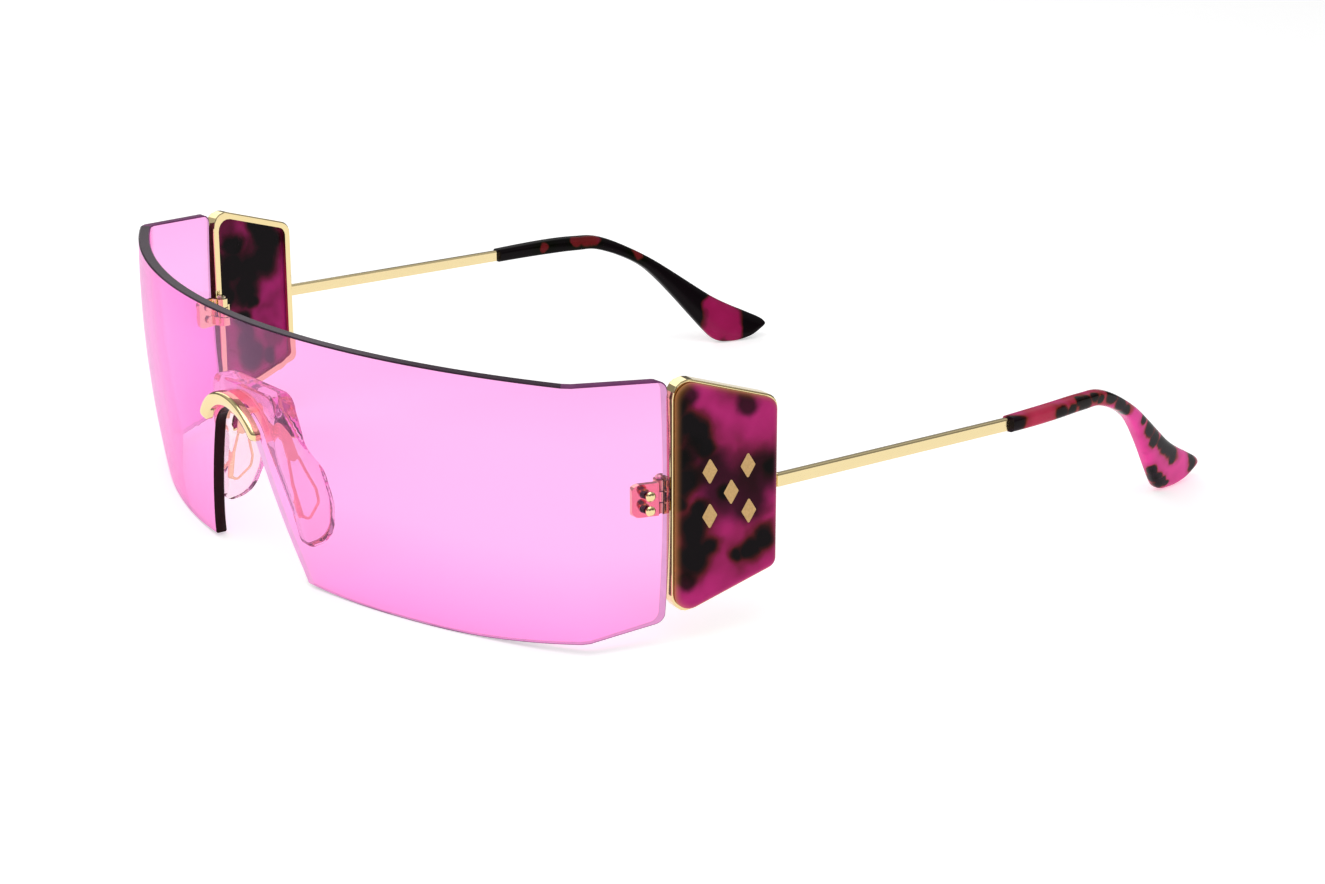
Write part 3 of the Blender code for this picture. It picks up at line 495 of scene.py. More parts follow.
def closed_tube(points, radius, segments=10):
    """Vertices and faces of a round wire along a closed line of 3-D points."""
    verts, faces = [], []
    count = len(points)
    for i, point in enumerate(points):
        ahead = points[(i + 1) % count] - points[i - 1]
        side = ahead.cross(Vector((0.31, 0.12, 0.94))).normalized()
        up = side.cross(ahead).normalized()
        for k in range(segments):
            angle = math.tau * k / segments
            verts.append(point + (side * math.cos(angle) + up * math.sin(angle)) * radius)
    for i in range(count):
        j = (i + 1) % count
        for k in range(segments):
            n = (k + 1) % segments
            faces.append((i * segments + k, i * segments + n, j * segments + n, j * segments + k))
    return verts, faces


# ---- lens -------------------------------------------------------------------------------------
def lens_section(z, offset):
    """Plan of the lens at height z, pushed out by offset: fold point, radius and centre."""
    height = min(max(z / LENS_HEIGHT, 0.0), 1.0)
    centre_y = FACE_FRONT_Y + FACE_RADIUS + LENS_LEAN * (1 - z / LENS_HEIGHT)
    push = offset + LENS_BULGE * (1 - (2 * height - 1) ** 2)
    radius = FACE_RADIUS + push
    along = Vector((math.cos(WING_ANGLE), math.sin(WING_ANGLE)))
    outward = Vector((along.y, -along.x))
    fold = Vector((FOLD_X, -math.sqrt(FACE_RADIUS ** 2 - FOLD_X ** 2))) + outward * push
    b = fold.dot(along)
    root = math.sqrt(b * b - fold.length_squared + radius * radius)
    slide = min((-b - root, -b + root), key=abs)
    fold += along * slide
    return fold, along, radius, centre_y


def lens_point(x, z, offset=0.0):
    radius, centre_y = lens_section(z, offset)[2:]
    return Vector((x, centre_y - math.sqrt(radius ** 2 - x ** 2), z))


def crease_point(x, z, offset):
    """A lens point near the crease, moved with it: the inner face creases further in."""
    fold = lens_section(z, offset)[0]
    share = max(0.0, (x - FLAT_OUTER_X) / (FOLD_X - FLAT_OUTER_X))
    return lens_point(x + (fold.x - FOLD_X) * share, z, offset)


def wing_point(y, z, offset=0.0):
    fold, along, _, centre_y = lens_section(z, offset)
    reach = (y - centre_y - fold.y) / along.y
    return Vector((fold.x + along.x * reach, y, z))


def wing_normal():
    return Vector((math.sin(WING_ANGLE), -math.cos(WING_ANGLE), 0.0))


def bottom_edge(x):
    if x < FLAT_INNER_X:
        return EDGE_RISE_INNER * (FLAT_INNER_X - x) ** 2
    return EDGE_RISE_OUTER * max(0.0, x - FLAT_OUTER_X) ** 2


def notch_side_x(z, outset=0.0):
    reach = (NOTCH_RADIUS + outset) / math.cos(NOTCH_FLARE)
    return reach + (NOTCH_CENTRE_Z - z) * math.tan(NOTCH_FLARE)


def notch_height(x, outset):
    """Height of the notch's edge above x: the arch, then the straight side."""
    radius = NOTCH_RADIUS + outset
    if x < radius * math.cos(NOTCH_FLARE):
        return NOTCH_CENTRE_Z + math.sqrt(radius ** 2 - x ** 2)
    reach = radius / math.cos(NOTCH_FLARE)
    return NOTCH_CENTRE_Z - (x - reach) / math.tan(NOTCH_FLARE)


def lens_columns():
    """Columns of the left half: ("face", x), then ("wing", share), then ("corner", angle)."""
    arch_end = NOTCH_RADIUS * math.cos(NOTCH_FLARE)
    foot = notch_side_x(bottom_edge(notch_side_x(0.0)))
    columns = [("face", arch_end * math.sin(math.pi / 2 * i / 12)) for i in range(13)]
    columns += [("face", arch_end + (foot - arch_end) * i / 12) for i in range(1, 13)]
    steps = 26
    last = FOLD_X - 0.0008
    columns += [("face", foot + (last - foot) * i / steps) for i in range(1, steps + 1)]
    columns += [("wing", share) for share in (0.05, 0.2, 0.4, 0.6, 0.8, 1.0)]
    columns += [("corner", math.pi / 2 * i / 6) for i in range(1, 7)]
    return columns


def column_span(column, shrink):
    """Lowest and highest point of a column, with the outline shrunk all round."""
    kind, value = column
    top_y = FACE_FRONT_Y + FACE_RADIUS - math.sqrt(FACE_RADIUS ** 2 - FOLD_X ** 2)
    if kind == "face":
        low = bottom_edge(value)
        if value < notch_side_x(low):
            low = max(low, notch_height(value, shrink) - shrink)
        return low + shrink, LENS_HEIGHT - shrink
    share, curl = (value, 0.0) if kind == "wing" else (1.0, value)
    reach = 1 - WING_CORNER / -top_y
    share = share * reach + (1 - reach) * math.sin(curl) if kind == "corner" else share * reach
    pull = WING_CORNER * (1 - math.cos(curl)) + shrink
    low = bottom_edge(FOLD_X) + WING_BOTTOM_RISE * share + pull
    return low, LENS_HEIGHT - WING_TOP_DROP * share - pull


def lens_vertex(column, share, offset, shrink):
    kind, value = column
    low, high = column_span(column, shrink)
    z = low + (high - low) * share
    if kind == "face":
        return crease_point(value, z, offset)
    if kind == "corner":
        return wing_point(-shrink - (WING_CORNER - shrink) * (1 - math.sin(value)), z, offset)
    fold, _, _, centre_y = lens_section(z, offset)
    start = centre_y + fold.y
    return wing_point(start + (-WING_CORNER - start) * value, z, offset)


def both_sides(columns, make):
    """make(column) for the right half, mirrored, then for the left half."""
    left = [make(column) for column in columns]
    right = [[Vector((-p.x, p.y, p.z)) for p in line] for line in reversed(left[1:])]
    return right + left


def lens_mesh():
    """Closed shell: two smooth faces, chamfers and cut edges all round."""
    columns = lens_columns()
    rows = 22
    shares = [i / rows for i in range(rows + 1)]
    sheets = []
    for offset in (0.0, -LENS_THICKNESS):
        sheets.append(both_sides(columns, lambda c: [
            lens_vertex(c, s, offset, LENS_CHAMFER) for s in shares]))
    walls = []
    for offset in (-LENS_CHAMFER, LENS_CHAMFER - LENS_THICKNESS):
        walls.append(both_sides(columns, lambda c: [
            lens_vertex(c, s, offset, 0.0) for s in shares]))
    verts, faces, kinds = [], [], []
    across = len(sheets[0])
    for sheet in sheets:
        base = len(verts)
        for line in sheet:
            verts.extend(line)
        for i in range(across - 1):
            for j in range(rows):
                a = base + i * (rows + 1) + j
                faces.append((a, a + rows + 1, a + rows + 2, a + 1))
                kinds.append(0)
    bands = (sheets[0], walls[0], walls[1], sheets[1])
    foot = notch_side_x(bottom_edge(notch_side_x(0.0)))
    for chamfer, near, far in zip((False, False, True), bands, bands[1:]):
        loops = [edge_loop(near), edge_loop(far)]
        base = len(verts)
        count = len(loops[0])
        verts.extend(loops[0] + loops[1])
        for i in range(count):
            j = (i + 1) % count
            faces.append((base + i, base + j, base + count + j, base + count + i))
            middle = (loops[0][i] + loops[0][j]) / 2
            kind = edge_kind(middle, i, across, rows, foot)
            kinds.append(3 if chamfer and kind == 1 else kind)
    return mesh_from("lens_shell", verts, faces, (LENS, EDGE_TOP, EDGE_NOTCH, EDGE_SIDE), kinds)


def edge_loop(sheet):
    bottom = [line[0] for line in sheet]
    left = sheet[-1][1:-1]
    top = [line[-1] for line in reversed(sheet)]
    right = list(reversed(sheet[0][1:-1]))
    return bottom + left + top + right


def edge_kind(middle, number, across, rows, foot):
    """Material number of an edge face: 1 along the face's top, 2 in the notch, 3 elsewhere."""
    if number < across and abs(middle.x) < foot:
        return 2
    first_top = across + rows - 1
    if first_top - 1 <= number < first_top + across and abs(middle.x) < FOLD_X - 0.0005:
        return 1
    return 3


def rivet_collars(sign):
    """Dark walls of the rivet holes, seen through the lens as short tails."""
    verts, faces = [], []
    normal, up = wing_normal(), Vector((0, 0, 1))
    for z in RIVET_Z:
        side = normal.cross(up)
        faces += rings(2, HOLE_WALL_SIDES, len(verts))
        for depth in (-HAIR, HAIR - LENS_THICKNESS):
            point = wing_point(RIVET_Y, z, depth)
            for k in range(HOLE_WALL_SIDES):
                angle = math.tau * k / HOLE_WALL_SIDES
                spoke = side * math.cos(angle) + up * math.sin(angle)
                verts.append(point + spoke * (RIVET_RADIUS + HAIR))
    verts = [Vector((v.x * sign, v.y, v.z)) for v in verts]
    return mesh_from("rivet_hole_walls", verts, faces, (EDGE_NOTCH,))


def add_lens():
    make_object("lens_visual", lens_mesh(), "front", ("lens_shield",))
    for sign, side in ((1, "left"), (-1, "right")):
        make_object("rivet_hole_walls_" + side, rivet_collars(sign), "front")


# ---- bridge -----------------------------------------------------------------------------------
def clip_mesh():
    """The clip as a bevelled half-round bar with full round ends."""
    profile = [(-1, 0.0), (-1, 0.62)]
    profile += [(-1 + 0.10 * (1 - math.cos(a)), 0.62 + 0.14 * math.sin(a))
                for a in (0.5, 1.0, 1.5)]
    profile += [(-0.35, 0.90), (0.1, 0.97), (0.50, 1.0)]
    profile += [(0.50 + 0.50 * math.sin(a), 0.50 + 0.50 * math.cos(a)) for a in
                (0.25, 0.55, 0.85, 1.15, 1.4)]
    profile += [(1, 0.0)]
    end = CLIP_WIDTH / 2 / CLIP_RADIUS
    verts = []
    for i in range(CLIP_STEPS + 1):
        angle = CLIP_HALF_ANGLE * (2 * i / CLIP_STEPS - 1)
        run = (CLIP_HALF_ANGLE - abs(angle)) / end
        taper = math.sqrt(max(0.02, 1 - (1 - min(run, 1.0)) ** 2))
        out = Vector((math.sin(angle), 0.0, math.cos(angle)))
        middle = Vector((0, 0, NOTCH_CENTRE_Z)) + out * CLIP_RADIUS
        for across, proud in profile:
            point = middle + out * across * CLIP_WIDTH / 2 * taper
            depth = CLIP_DEPTH * (0.4 + 0.6 * taper)
            point.y = lens_point(point.x, point.z, GAP).y - proud * depth
            verts.append(point)
    count = len(profile)
    faces = rings(CLIP_STEPS + 1, count)
    faces.append(tuple(range(count)))
    faces.append(tuple(reversed(range(CLIP_STEPS * count, (CLIP_STEPS + 1) * count))))
    return mesh_from("clip", verts, faces, (GOLD,), smooth_angle=40)


def pad_x(z):
    return notch_side_x(z, PAD_SETBACK)


def insert_front_y():
    return lens_point(*INSERT_CONTACT, -LENS_THICKNESS - GAP).y


def arch(radius, half_angle, steps):
    points = []
    for i in range(steps + 1):
        angle = half_angle * (2 * i / steps - 1)
        points.append(Vector((radius * math.sin(angle),
                              NOTCH_CENTRE_Z + radius * math.cos(angle))))
    return points


def saddle_front_outline():
    half = PAD_THICKNESS / 2 / math.cos(NOTCH_FLARE)
    outer = ((pad_x(PAD_FOOT_Z) + half, PAD_FOOT_Z), (pad_x(PAD_BEND_Z) + half, PAD_BEND_Z),
             (SADDLE_SHOULDER_X, SADDLE_TOP_Z))
    left = [Vector(p) for p in outer]
    right = [Vector((-p.x, p.y)) for p in reversed(left)]
    shell = rounded(left + right, (0, 0.006, 0.0022, 0.0022, 0.006, 0))
    radius = NOTCH_RADIUS + PAD_SETBACK - PAD_THICKNESS / 2
    inside = arch(radius, math.pi / 2 - NOTCH_FLARE, 24)
    foot_left = Vector((pad_x(PAD_FOOT_Z) - half, PAD_FOOT_Z))
    return shell + [Vector((-foot_left.x, PAD_FOOT_Z))] + inside + [foot_left]


def saddle_side_outline():
    corners = ((SADDLE_FRONT_Y, 0.034), (-0.0281, 0.034), (-0.0270, 0.0275), (-0.0258, 0.0222),
               (-0.0232, 0.0180), (-0.0227, 0.0128), (-0.0240, 0.0074), (-0.0290, 0.0066),
               (-0.0294, 0.0120), (SADDLE_FRONT_Y, 0.0230))
    return rounded(corners, (0, 0, 0.004, 0.006, 0.004, 0.004, 0.0040, 0.0012, 0.002, 0.002))


def saddle_mesh():
    """The saddle as one soft rounded body of clear silicone."""
    saddle = scratch("saddle", prism("saddle", saddle_front_outline(),
                                     lambda u, v, d: (u, -d, v), *SADDLE_BLOCK_DEPTH))
    side = scratch("side", prism("side", saddle_side_outline(),
                                 lambda u, v, d: (d, u, v), -SADDLE_BLOCK_HALF_WIDTH,
                                 SADDLE_BLOCK_HALF_WIDTH))
    cut = saddle.modifiers.new("side", "BOOLEAN")
    cut.operation = "INTERSECT"
    cut.solver = "EXACT"
    cut.object = side
    remesh = saddle.modifiers.new("voxels", "REMESH")
    remesh.mode = "VOXEL"
    remesh.voxel_size = SADDLE_VOXEL
    soft = saddle.modifiers.new("soft", "SMOOTH")
    soft.factor = 0.5
    soft.iterations = SADDLE_SMOOTHING
    mesh = baked(saddle)
    bpy.data.objects.remove(side, do_unlink=True)
    mesh.materials.clear()
    mesh.materials.append(SILICONE)
    mesh.shade_smooth()
    return mesh


def loop_outline():
    corners = ((-0.0287, 0.0206), (-0.0270, 0.0206), (-0.0262, 0.0180), (-0.0251, 0.0150),
               (-0.0251, 0.0130), (-0.0274, 0.0107), (-0.0284, 0.0114), (-0.0289, 0.0165))
    radii = (0.0007, 0.0008, 0.002, 0.002, 0.0012, 0.0007, 0.0006, 0.002)
    return rounded(corners, radii, 6)


def insert_meshes():
    """Arched plate, a flat strip down each pad and the wire loop at its end."""
    front = insert_front_y()
    plan = arch(CLIP_RADIUS - INSERT_WIDTH / 2, INSERT_HALF_ANGLE, 32)
    plan += list(reversed(arch(CLIP_RADIUS + INSERT_WIDTH / 2, INSERT_HALF_ANGLE, 32)))
    plate = prism("plate", plan, lambda u, v, d: (u, d, v), front, front + PLATE_THICKNESS)
    corners = ((-0.0310, 0.0262), (-0.0291, 0.0262), (-0.0276, 0.0240), (-0.0269, 0.0203),
               (-0.0279, 0.0198), (-0.0289, 0.0203), (-0.0292, 0.0235))
    outline = rounded(corners, (0.0003, 0.0006, 0.003, 0.0004, 0.0004, 0.0004, 0.003), 5)
    meshes = [plate]
    for sign in (1, -1):
        meshes.append(prism("strip", outline, lambda u, v, d: (sign * (pad_x(v) + d), u, v),
                            -STRIP_THICKNESS / 2, STRIP_THICKNESS / 2))
        wire = [Vector((sign * pad_x(z), y, z)) for y, z in loop_outline()]
        meshes.append(mesh_from("wire", *closed_tube(wire, WIRE_RADIUS), (ROSE_GOLD,)))
    for mesh in meshes:
        mesh.materials.clear()
        mesh.materials.append(ROSE_GOLD)
        tidy_normals(mesh, 35)
    return meshes


def add_bridge():
    make_object("clip_visual", clip_mesh(), "front", ("bridge_clip",))
    make_object("saddle_visual", saddle_mesh(), "front", ("nose_saddle",))
    meshes = insert_meshes()
    make_object("insert_plate", meshes[0], "front", ("nose_insert",))
    names = ("strip_left", "wire_left", "strip_right", "wire_right")
    for name, mesh in zip(names, meshes[1:]):
        make_object("insert_" + name, mesh, "front")


# ---- metal parts kept from the CAD ------------------------------------------------------------
def dress(node, material, body, bevel):
    """A CAD node's own shape with softened edges and a finished surface."""
    source = bpy.data.objects[node]
    mesh = source.data.copy()
    mesh.transform(source.matrix_world)
    mesh.materials.clear()
    mesh.materials.append(material)
    obj = scratch(node + "_edges", mesh)
    soft = obj.modifiers.new("edges", "BEVEL")
    soft.width = bevel
    soft.segments = 3
    soft.limit_method = "ANGLE"
    soft.angle_limit = SHARP_ANGLE
    soft.use_clamp_overlap = True
    mesh = baked(obj)
    mesh.shade_smooth()
    mesh.set_sharp_from_angle(angle=SHARP_ANGLE)
    return make_object(node + "_visual", mesh, body, (node,))


def add_metal():
    for side in ("left", "right"):
        temple = "temple_" + side
        dress("bridge_screw_" + side, ROSE_GOLD, "front", SCREW_EDGE)
        dress("hinge_front_" + side, GOLD, "front", HINGE_EDGE)
        dress("hinge_screw_" + side, STEEL, "front", SCREW_EDGE)
        for level in ("lower", "upper"):
            dress(f"lens_rivet_{side}_{level}", GOLD, "front", RIVET_EDGE)
        dress("hinge_rear_" + side, GOLD, temple, HINGE_EDGE)
        dress("panel_rim_" + side, GOLD, temple, RIM_EDGE)
        dress("temple_bar_" + side, SATIN_GOLD, temple, BAR_EDGE)


# ---- panels -----------------------------------------------------------------------------------
def panel_place(along, depth, z):
    ahead = Vector((math.sin(PANEL_FLARE), math.cos(PANEL_FLARE)))
    inward = Vector((-ahead.y, ahead.x))
    plan = Vector((PANEL_FRONT_X, PANEL_FRONT_Y)) + ahead * along + inward * depth
    return Vector((plan.x, plan.y, z))


def inset(corners, distance):
    count = len(corners)
    lines = []
    for i in range(count):
        a, b = Vector(corners[i]), Vector(corners[(i + 1) % count])
        along = (b - a).normalized()
        lines.append((a + Vector((along.y, -along.x)) * distance, along))
    result = []
    for i in range(count):
        (p, d), (q, e) = lines[i - 1], lines[i]
        cross = d.x * e.y - d.y * e.x
        reach = ((q.x - p.x) * e.y - (q.y - p.y) * e.x) / cross
        result.append(p + d * reach)
    return result


def panel_outline(distance):
    radii = [max(radius - distance * 0.5, SMALLEST_CORNER) for radius in PANEL_CORNER_RADII]
    return rounded(inset(PANEL_CORNERS, distance), radii, 10)


def inlay_mesh(material):
    """Acetate slab: a stack of outlines from the recess floor to the bevelled outer face."""
    # the third number of each level is its share of the painted highlight on the bevel
    levels = [(RIM_WALL + GAP, RECESS_DEPTH - GAP, 0.0), (RIM_WALL + GAP, -GAP / 2, 0.0),
              (INLAY_LIP, -GAP / 2, 1.0), (INLAY_LIP, INLAY_BEVEL_RISE - INLAY_PROUD, 1.0)]
    for i in range(1, 7):
        angle = math.pi / 2 * i / 6
        levels.append((INLAY_LIP + INLAY_BEVEL * (1 - math.cos(angle)),
                       INLAY_BEVEL_RISE * (1 - math.sin(angle)) - INLAY_PROUD, 1 - i / 7))
    levels.append((INLAY_LIP + INLAY_BEVEL + INLAY_EDGE_FADE, -INLAY_PROUD, 0.0))
    verts, painted_bevel_light = [], []
    count = len(panel_outline(0.0))
    for distance, depth, edge in levels:
        verts.extend(panel_place(u, depth, v) for u, v in panel_outline(distance))
        painted_bevel_light += [edge] * count
    faces = rings(len(levels), count)
    faces.append(tuple(range(count)))
    faces.append(tuple(range((len(levels) - 1) * count, len(levels) * count)))
    mesh = mesh_from("inlay", verts, faces, (material,), smooth_angle=50)
    edges = mesh.attributes.new("edge", "FLOAT", "POINT")
    edges.data.foreach_set("value", painted_bevel_light)
    return mesh


def emblem_mesh():
    """Five small foil lozenges in a quincunx, pressed just proud of the slab."""
    verts, faces = [], []
    for along, z in EMBLEM:
        size = EMBLEM_SIZE
        plan = rounded(((along - size * 0.62, z), (along, z + size), (along + size * 0.62, z),
                        (along, z - size)), (0.0002,) * 4, 4)
        base = len(verts)
        count = len(plan)
        for depth in (EMBLEM_SINK - INLAY_PROUD, -EMBLEM_PROUD - INLAY_PROUD):
            verts.extend(panel_place(u, depth, v) for u, v in plan)
        faces += rings(2, count, base)
        faces.append(tuple(range(base, base + count)))
        faces.append(tuple(range(base + count, base + 2 * count)))
    return mesh_from("emblem", verts, faces, (FOIL,))


PANEL_LEVELS = ((0.0, BLACK), (0.32, BLACK), (0.44, (0.035, 0.005, 0.006)),
                (0.54, (0.12, 0.010, 0.018)), (0.66, (0.24, 0.013, 0.06)), (0.82, BERRY),
                (1.0, MAGENTA))
DARK_PANEL_LEVELS = ((0.0, BLACK), (0.36, BLACK), (0.48, (0.03, 0.004, 0.010)),
                     (0.62, (0.15, 0.008, 0.045)), (0.82, (0.48, 0.022, 0.19)),
                     (1.0, (0.68, 0.036, 0.30)))
TIP_LEVELS = ((0.0, BLACK), (0.40, (0.016, 0.009, 0.014)), (0.47, BROWN),
              (0.54, (0.45, 0.05, 0.09)), (0.62, (0.70, 0.05, 0.26)), (1.0, HOT_PINK))
DARK_TIP_LEVELS = ((0.0, (0.42, 0.014, 0.11)), (0.42, (0.36, 0.012, 0.09)), (0.50, MAROON),
                   (0.55, BROWN), (0.60, BLACK), (1.0, BLACK))
# blotches as (along or y, z, radius) in millimetres
LEFT_PANEL_SPOTS = ((0.2, 38.5, 1.9), (0.6, 41.6, 1.1), (2.5, 36.0, 2.2), (4.3, 34.1, 2.2),
                    (5.4, 32.0, 1.5), (0.2, 34.5, 1.7), (0.2, 30.8, 2.0), (1.6, 27.4, 2.6),
                    (0.6, 24.0, 1.7), (3.0, 19.4, 3.0), (3.2, 15.2, 3.1), (5.8, 16.2, 1.6),
                    (4.0, 21.9, 1.6), (13.3, 14.6, 2.0), (15.6, 16.0, 1.9), (10.8, 13.8, 1.3),
                    (9.2, 24.0, 1.2), (16.6, 27.0, 1.3))
LEFT_PANEL_VEILS = ((9.0, 24.5, 4.4), (13.6, 26.4, 4.0), (16.4, 26.8, 3.4), (6.2, 28.2, 3.2),
                    (12.8, 22.0, 3.2), (12.4, 38.0, 1.8), (2.2, 40.8, 2.0), (2.6, 31.6, 2.2),
                    (2.0, 11.4, 1.6))
RIGHT_PANEL_SPOTS = ((5.0, 35.6, 2.2), (10.6, 38.8, 1.9), (12.6, 36.8, 2.8), (14.6, 35.2, 2.2),
                     (12.6, 31.8, 3.2), (9.0, 30.2, 3.0), (4.6, 31.2, 3.0), (2.2, 28.2, 2.4),
                     (7.4, 26.2, 2.9), (9.2, 23.8, 1.4), (3.0, 25.4, 2.0), (6.6, 20.6, 1.9),
                     (6.8, 17.0, 2.2), (8.0, 13.6, 2.4), (12.2, 12.6, 1.5), (0.8, 33.2, 1.6))
RIGHT_PANEL_VEILS = ((3.4, 39.6, 2.8), (7.8, 34.8, 2.0), (13.6, 16.0, 2.2))
LEFT_TIP_SPOTS = ((68.8, 24.6, 2.2), (79.6, 24.1, 1.7), (82.4, 24.3, 1.3), (86.0, 24.4, 1.7),
                  (84.2, 25.6, 1.0), (90.6, 24.6, 1.1), (88.8, 25.7, 1.3), (94.2, 24.6, 1.7),
                  (97.0, 22.2, 2.0), (99.3, 20.2, 1.8),
                  (105.6, 16.9, 1.1), (108.3, 14.8, 1.8), (110.6, 12.4, 1.7), (113.4, 11.2, 1.4),
                  (115.2, 10.0, 1.8), (117.4, 8.6, 2.0), (119.0, 6.8, 1.5), (108.8, 9.2, 0.6),
                  (112.8, 4.8, 1.5), (114.4, 3.0, 1.8), (116.6, 1.7, 1.5), (118.4, 1.1, 0.8),
                  (125.9, 4.6, 1.6), (126.4, 3.2, 1.3))
LEFT_TIP_VEILS = ((73.0, 24.8, 3.0), (77.0, 24.8, 3.0), (84.0, 24.8, 4.0), (91.0, 25.0, 3.6),
                  (101.4, 20.6, 1.6))
RIGHT_TIP_SPOTS = ((78.9, 24.8, 1.0), (86.2, 25.3, 1.3), (88.2, 25.4, 1.2), (90.2, 25.2, 1.5),
                   (99.7, 21.3, 1.2), (118.2, 5.2, 4.2), (116.4, 8.4, 2.2), (120.0, 7.4, 1.8),
                   (116.0, 2.6, 2.6), (120.8, 2.0, 2.0))
RIGHT_TIP_VEILS = ((79.0, 24.8, 3.0), (88.0, 25.0, 4.0), (99.7, 21.3, 2.6))


def placed(spots, sign, locate):
    """Blotches in metres on the side given by sign."""
    result = []
    for along, z, radius in spots:
        middle = locate(along / 1000, z / 1000)
        result.append((middle.x * sign, middle.y, middle.z, radius / 1000))
    return result


# spots, veils, ramp levels, depth of the spots in the slab and what a veil multiplies the tint by
PANEL_LOOKS = {
    "left": (LEFT_PANEL_SPOTS, LEFT_PANEL_VEILS, PANEL_LEVELS, -INLAY_PROUD,
             (0.05, 0.06, 0.05)),
    "right": (RIGHT_PANEL_SPOTS, RIGHT_PANEL_VEILS, DARK_PANEL_LEVELS, RECESS_DEPTH - GAP,
              (0.30, 0.30, 0.25))}
TIP_LOOKS = {
    "left": (LEFT_TIP_SPOTS, LEFT_TIP_VEILS, TIP_LEVELS, (0.62, 0.60, 0.22)),
    "right": (RIGHT_TIP_SPOTS, RIGHT_TIP_VEILS, DARK_TIP_LEVELS, (0.40, 1.0, 0.10))}


def add_panels():
    for sign, side in ((1, "left"), (-1, "right")):
        spots, veils, levels, depth, veil = PANEL_LOOKS[side]
        spots = placed(spots, sign, lambda along, z: panel_place(along, depth, z))
        veils = placed(veils, sign, lambda along, z: panel_place(along, depth, z))
        material = tortoise("panel_acetate_" + side, spots, levels, (0.31 * sign, 0.2, 0.05),
                            (0.95, 2.3), veils, veil)
        inlay = inlay_mesh(material)
        emblem = emblem_mesh()
        if sign < 0:
            inlay = flipped(inlay, "inlay_right")
            emblem = flipped(emblem, "emblem_right")
        body = "temple_" + side
        make_object("inlay_visual_" + side, inlay, body, ("panel_inlay_" + side,))
        make_object("emblem_" + side, emblem, body)


# ---- temple tips ------------------------------------------------------------------------------
def tip_plan(y, z):
    leaning = BAR_X - TIP_INWARD * (y - TIP_BEND_Y) + TIP_TWIST * (z - BAR_Z)
    gap = (BAR_X - leaning) / 2
    return (BAR_X + leaning) / 2 - math.hypot(gap, TIP_BEND_BLEND) + TIP_BEND_BLEND / 2


def smoothed(points):
    """The points with one more between each pair."""
    line = [points[0]]
    padded = [points[0]] + points + [points[-1]]
    for a, b, c, d in zip(padded, padded[1:], padded[2:], padded[3:]):
        line += [(9 * (b + c) - a - d) / 16, c]
    return line


def tip_edges():
    edges = []
    for edge in zip(*TIP_STATIONS):
        line = smoothed([Vector(p) for p in edge])
        edges.append(smoothed(smoothed(line)))
    return list(zip(*edges))


def tip_mesh(material):
    """The tip as a fine loft with a rounded end."""
    edges = tip_edges()
    last = len(edges) - 1
    verts = []
    for number, (top, bottom) in enumerate(edges):
        thickness = TIP_THICKNESS * (0.92 + 0.08 * min(number / 4, 1.0))
        tail = (last - number) / 8
        if tail < 1:
            thickness *= 0.5 + 0.5 * math.sqrt(1 - (1 - tail) ** 2)
        middle = (top + bottom) / 2
        reach = (top - bottom) / 2
        for i in range(TIP_SIDES):
            angle = math.tau * (i + 0.5) / TIP_SIDES
            side = math.copysign(abs(math.cos(angle)) ** TIP_SQUARENESS, math.cos(angle))
            rise = math.copysign(abs(math.sin(angle)) ** TIP_SQUARENESS, math.sin(angle))
            point = middle + reach * rise
            x = tip_plan(point.x, point.y) + side * thickness / 2
            verts.append(Vector((x, point.x, point.y)))
    faces = rings(last + 1, TIP_SIDES)
    faces.append(tuple(range(TIP_SIDES)))
    faces.append(tuple(range(last * TIP_SIDES, (last + 1) * TIP_SIDES)))
    return mesh_from("tip", verts, faces, (material,), smooth_angle=50)


def add_tips():
    for sign, side in ((1, "left"), (-1, "right")):
        spots, veils, levels, veil = TIP_LOOKS[side]
        half = sign * TIP_THICKNESS / 2
        spots = placed(spots, sign, lambda y, z: Vector((tip_plan(y, z) + half, y, z)))
        veils = placed(veils, sign, lambda y, z: Vector((tip_plan(y, z) + half, y, z)))
        material = tortoise("tip_acetate_" + side, spots, levels, (0.1 * sign, 0.4, 0.1),
                            (1.1, 2.4), veils, veil)
        mesh = tip_mesh(material)
        if sign < 0:
            mesh = flipped(mesh, "tip_right")
        make_object("tip_visual_" + side, mesh, "temple_" + side,
                    ("temple_tip_" + side,))


# ---- studio -----------------------------------------------------------------------------------
FLOOR_HALF_SIZE = 3.0
FLOOR_GLOW = 0.50
SKY_LEVELS = ((0.0, 0.75), (0.08, 0.30), (0.22, 0.22), (0.38, 0.95), (0.75, 1.0), (1.0, 0.35))
SKY_STRENGTH = 0.55
CAMERA_PLACE = (0.38182, -0.28166, 0.15384)
CAMERA_AZIMUTH = math.radians(52.854)
CAMERA_ELEVATION = math.radians(17.251)
CAMERA_FOCAL_MM = 73.77
CAMERA_SENSOR_MM = 36.0


def add_floor():
    g = Graph("pale_floor")
    place = g.coords()
    soft = g.noise(place, 3.0, 2.0).outputs["Fac"]
    tint = g.mix(soft, (0.80, 0.80, 0.80), (0.83, 0.83, 0.83))
    paper = g.add("BsdfPrincipled", {"Base Color": tint, "Roughness": 0.8,
                                     "Specular IOR Level": 0.1,
                                     "Emission Color": (1.0, 1.0, 1.0, 1.0),
                                     "Emission Strength": FLOOR_GLOW})
    material = g.finish(paper.outputs[0])
    size = FLOOR_HALF_SIZE
    mesh = bpy.data.meshes.new("floor")
    mesh.from_pydata([(-size, -size, 0), (size, -size, 0), (size, size, 0), (-size, size, 0)], [],
                     [(0, 1, 2, 3)])
    mesh.materials.append(material)
    scratch("floor", mesh)


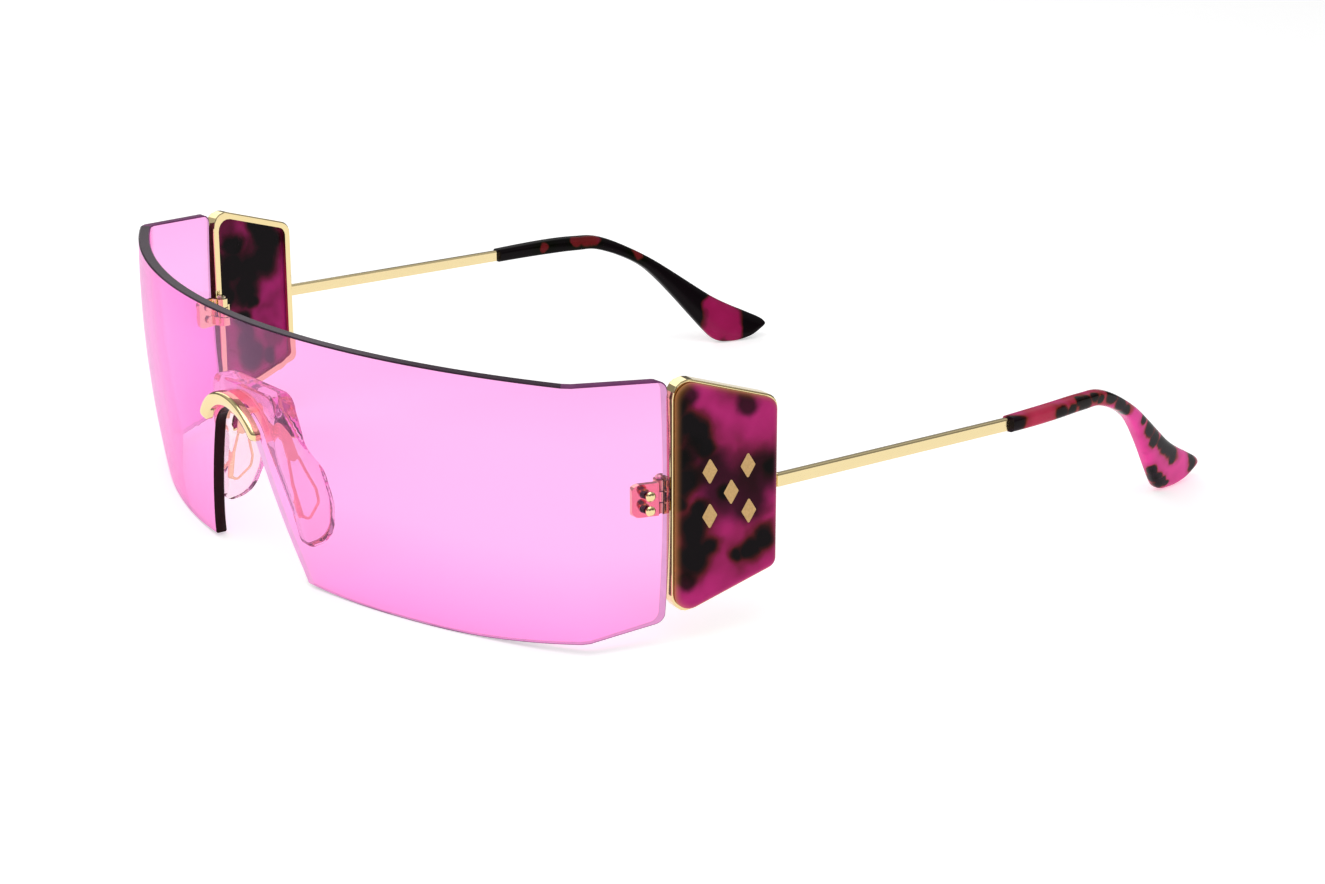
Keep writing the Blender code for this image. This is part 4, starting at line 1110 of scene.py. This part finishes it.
def add_lamp(name, place, size, power):
    lamp = bpy.data.lights.new(name, "AREA")
    lamp.shape = "RECTANGLE"
    lamp.size, lamp.size_y = size
    lamp.energy = power
    obj = bpy.data.objects.new(name, lamp)
    bpy.context.scene.collection.objects.link(obj)
    obj.location = place
    obj.rotation_euler = Vector(place).to_track_quat("Z", "Y").to_euler()


def add_sky():
    """White studio overhead with a darker band at eye level for the metal to reflect."""
    world = bpy.data.worlds.new("studio")
    bpy.context.scene.world = world
    world.use_nodes = True
    tree = world.node_tree
    place = tree.nodes.new("ShaderNodeTexCoord")
    split = tree.nodes.new("ShaderNodeSeparateXYZ")
    ramp = tree.nodes.new("ShaderNodeValToRGB")
    tree.links.new(place.outputs["Generated"], split.inputs[0])
    tree.links.new(split.outputs["Z"], ramp.inputs["Fac"])
    while len(ramp.color_ramp.elements) < len(SKY_LEVELS):
        ramp.color_ramp.elements.new(0.5)
    for element, (where, level) in zip(ramp.color_ramp.elements, SKY_LEVELS):
        element.position = where
        element.color = (level, level, level, 1.0)
    background = tree.nodes["Background"]
    tree.links.new(ramp.outputs["Color"], background.inputs["Color"])
    background.inputs["Strength"].default_value = SKY_STRENGTH


def add_camera():
    level = math.cos(CAMERA_ELEVATION)
    back = Vector((math.sin(CAMERA_AZIMUTH) * level, -math.cos(CAMERA_AZIMUTH) * level,
                   math.sin(CAMERA_ELEVATION)))
    camera = bpy.data.cameras.new("camera")
    camera.sensor_fit = "HORIZONTAL"
    camera.sensor_width = CAMERA_SENSOR_MM
    camera.lens = CAMERA_FOCAL_MM
    camera.clip_start = 0.01
    obj = bpy.data.objects.new("camera", camera)
    bpy.context.scene.collection.objects.link(obj)
    obj.location = CAMERA_PLACE
    obj.rotation_euler = back.to_track_quat("Z", "Y").to_euler()
    bpy.context.scene.camera = obj


add_lens()
add_bridge()
add_metal()
add_panels()
add_tips()
add_floor()
add_lamp("key", (0.25, -0.35, 0.75), (0.8, 0.6), 3.0)
add_lamp("fill", (-0.7, 0.1, 0.5), (0.6, 0.6), 1.2)
add_sky()
add_camera()
bpy.context.scene.view_settings.view_transform = "Standard"
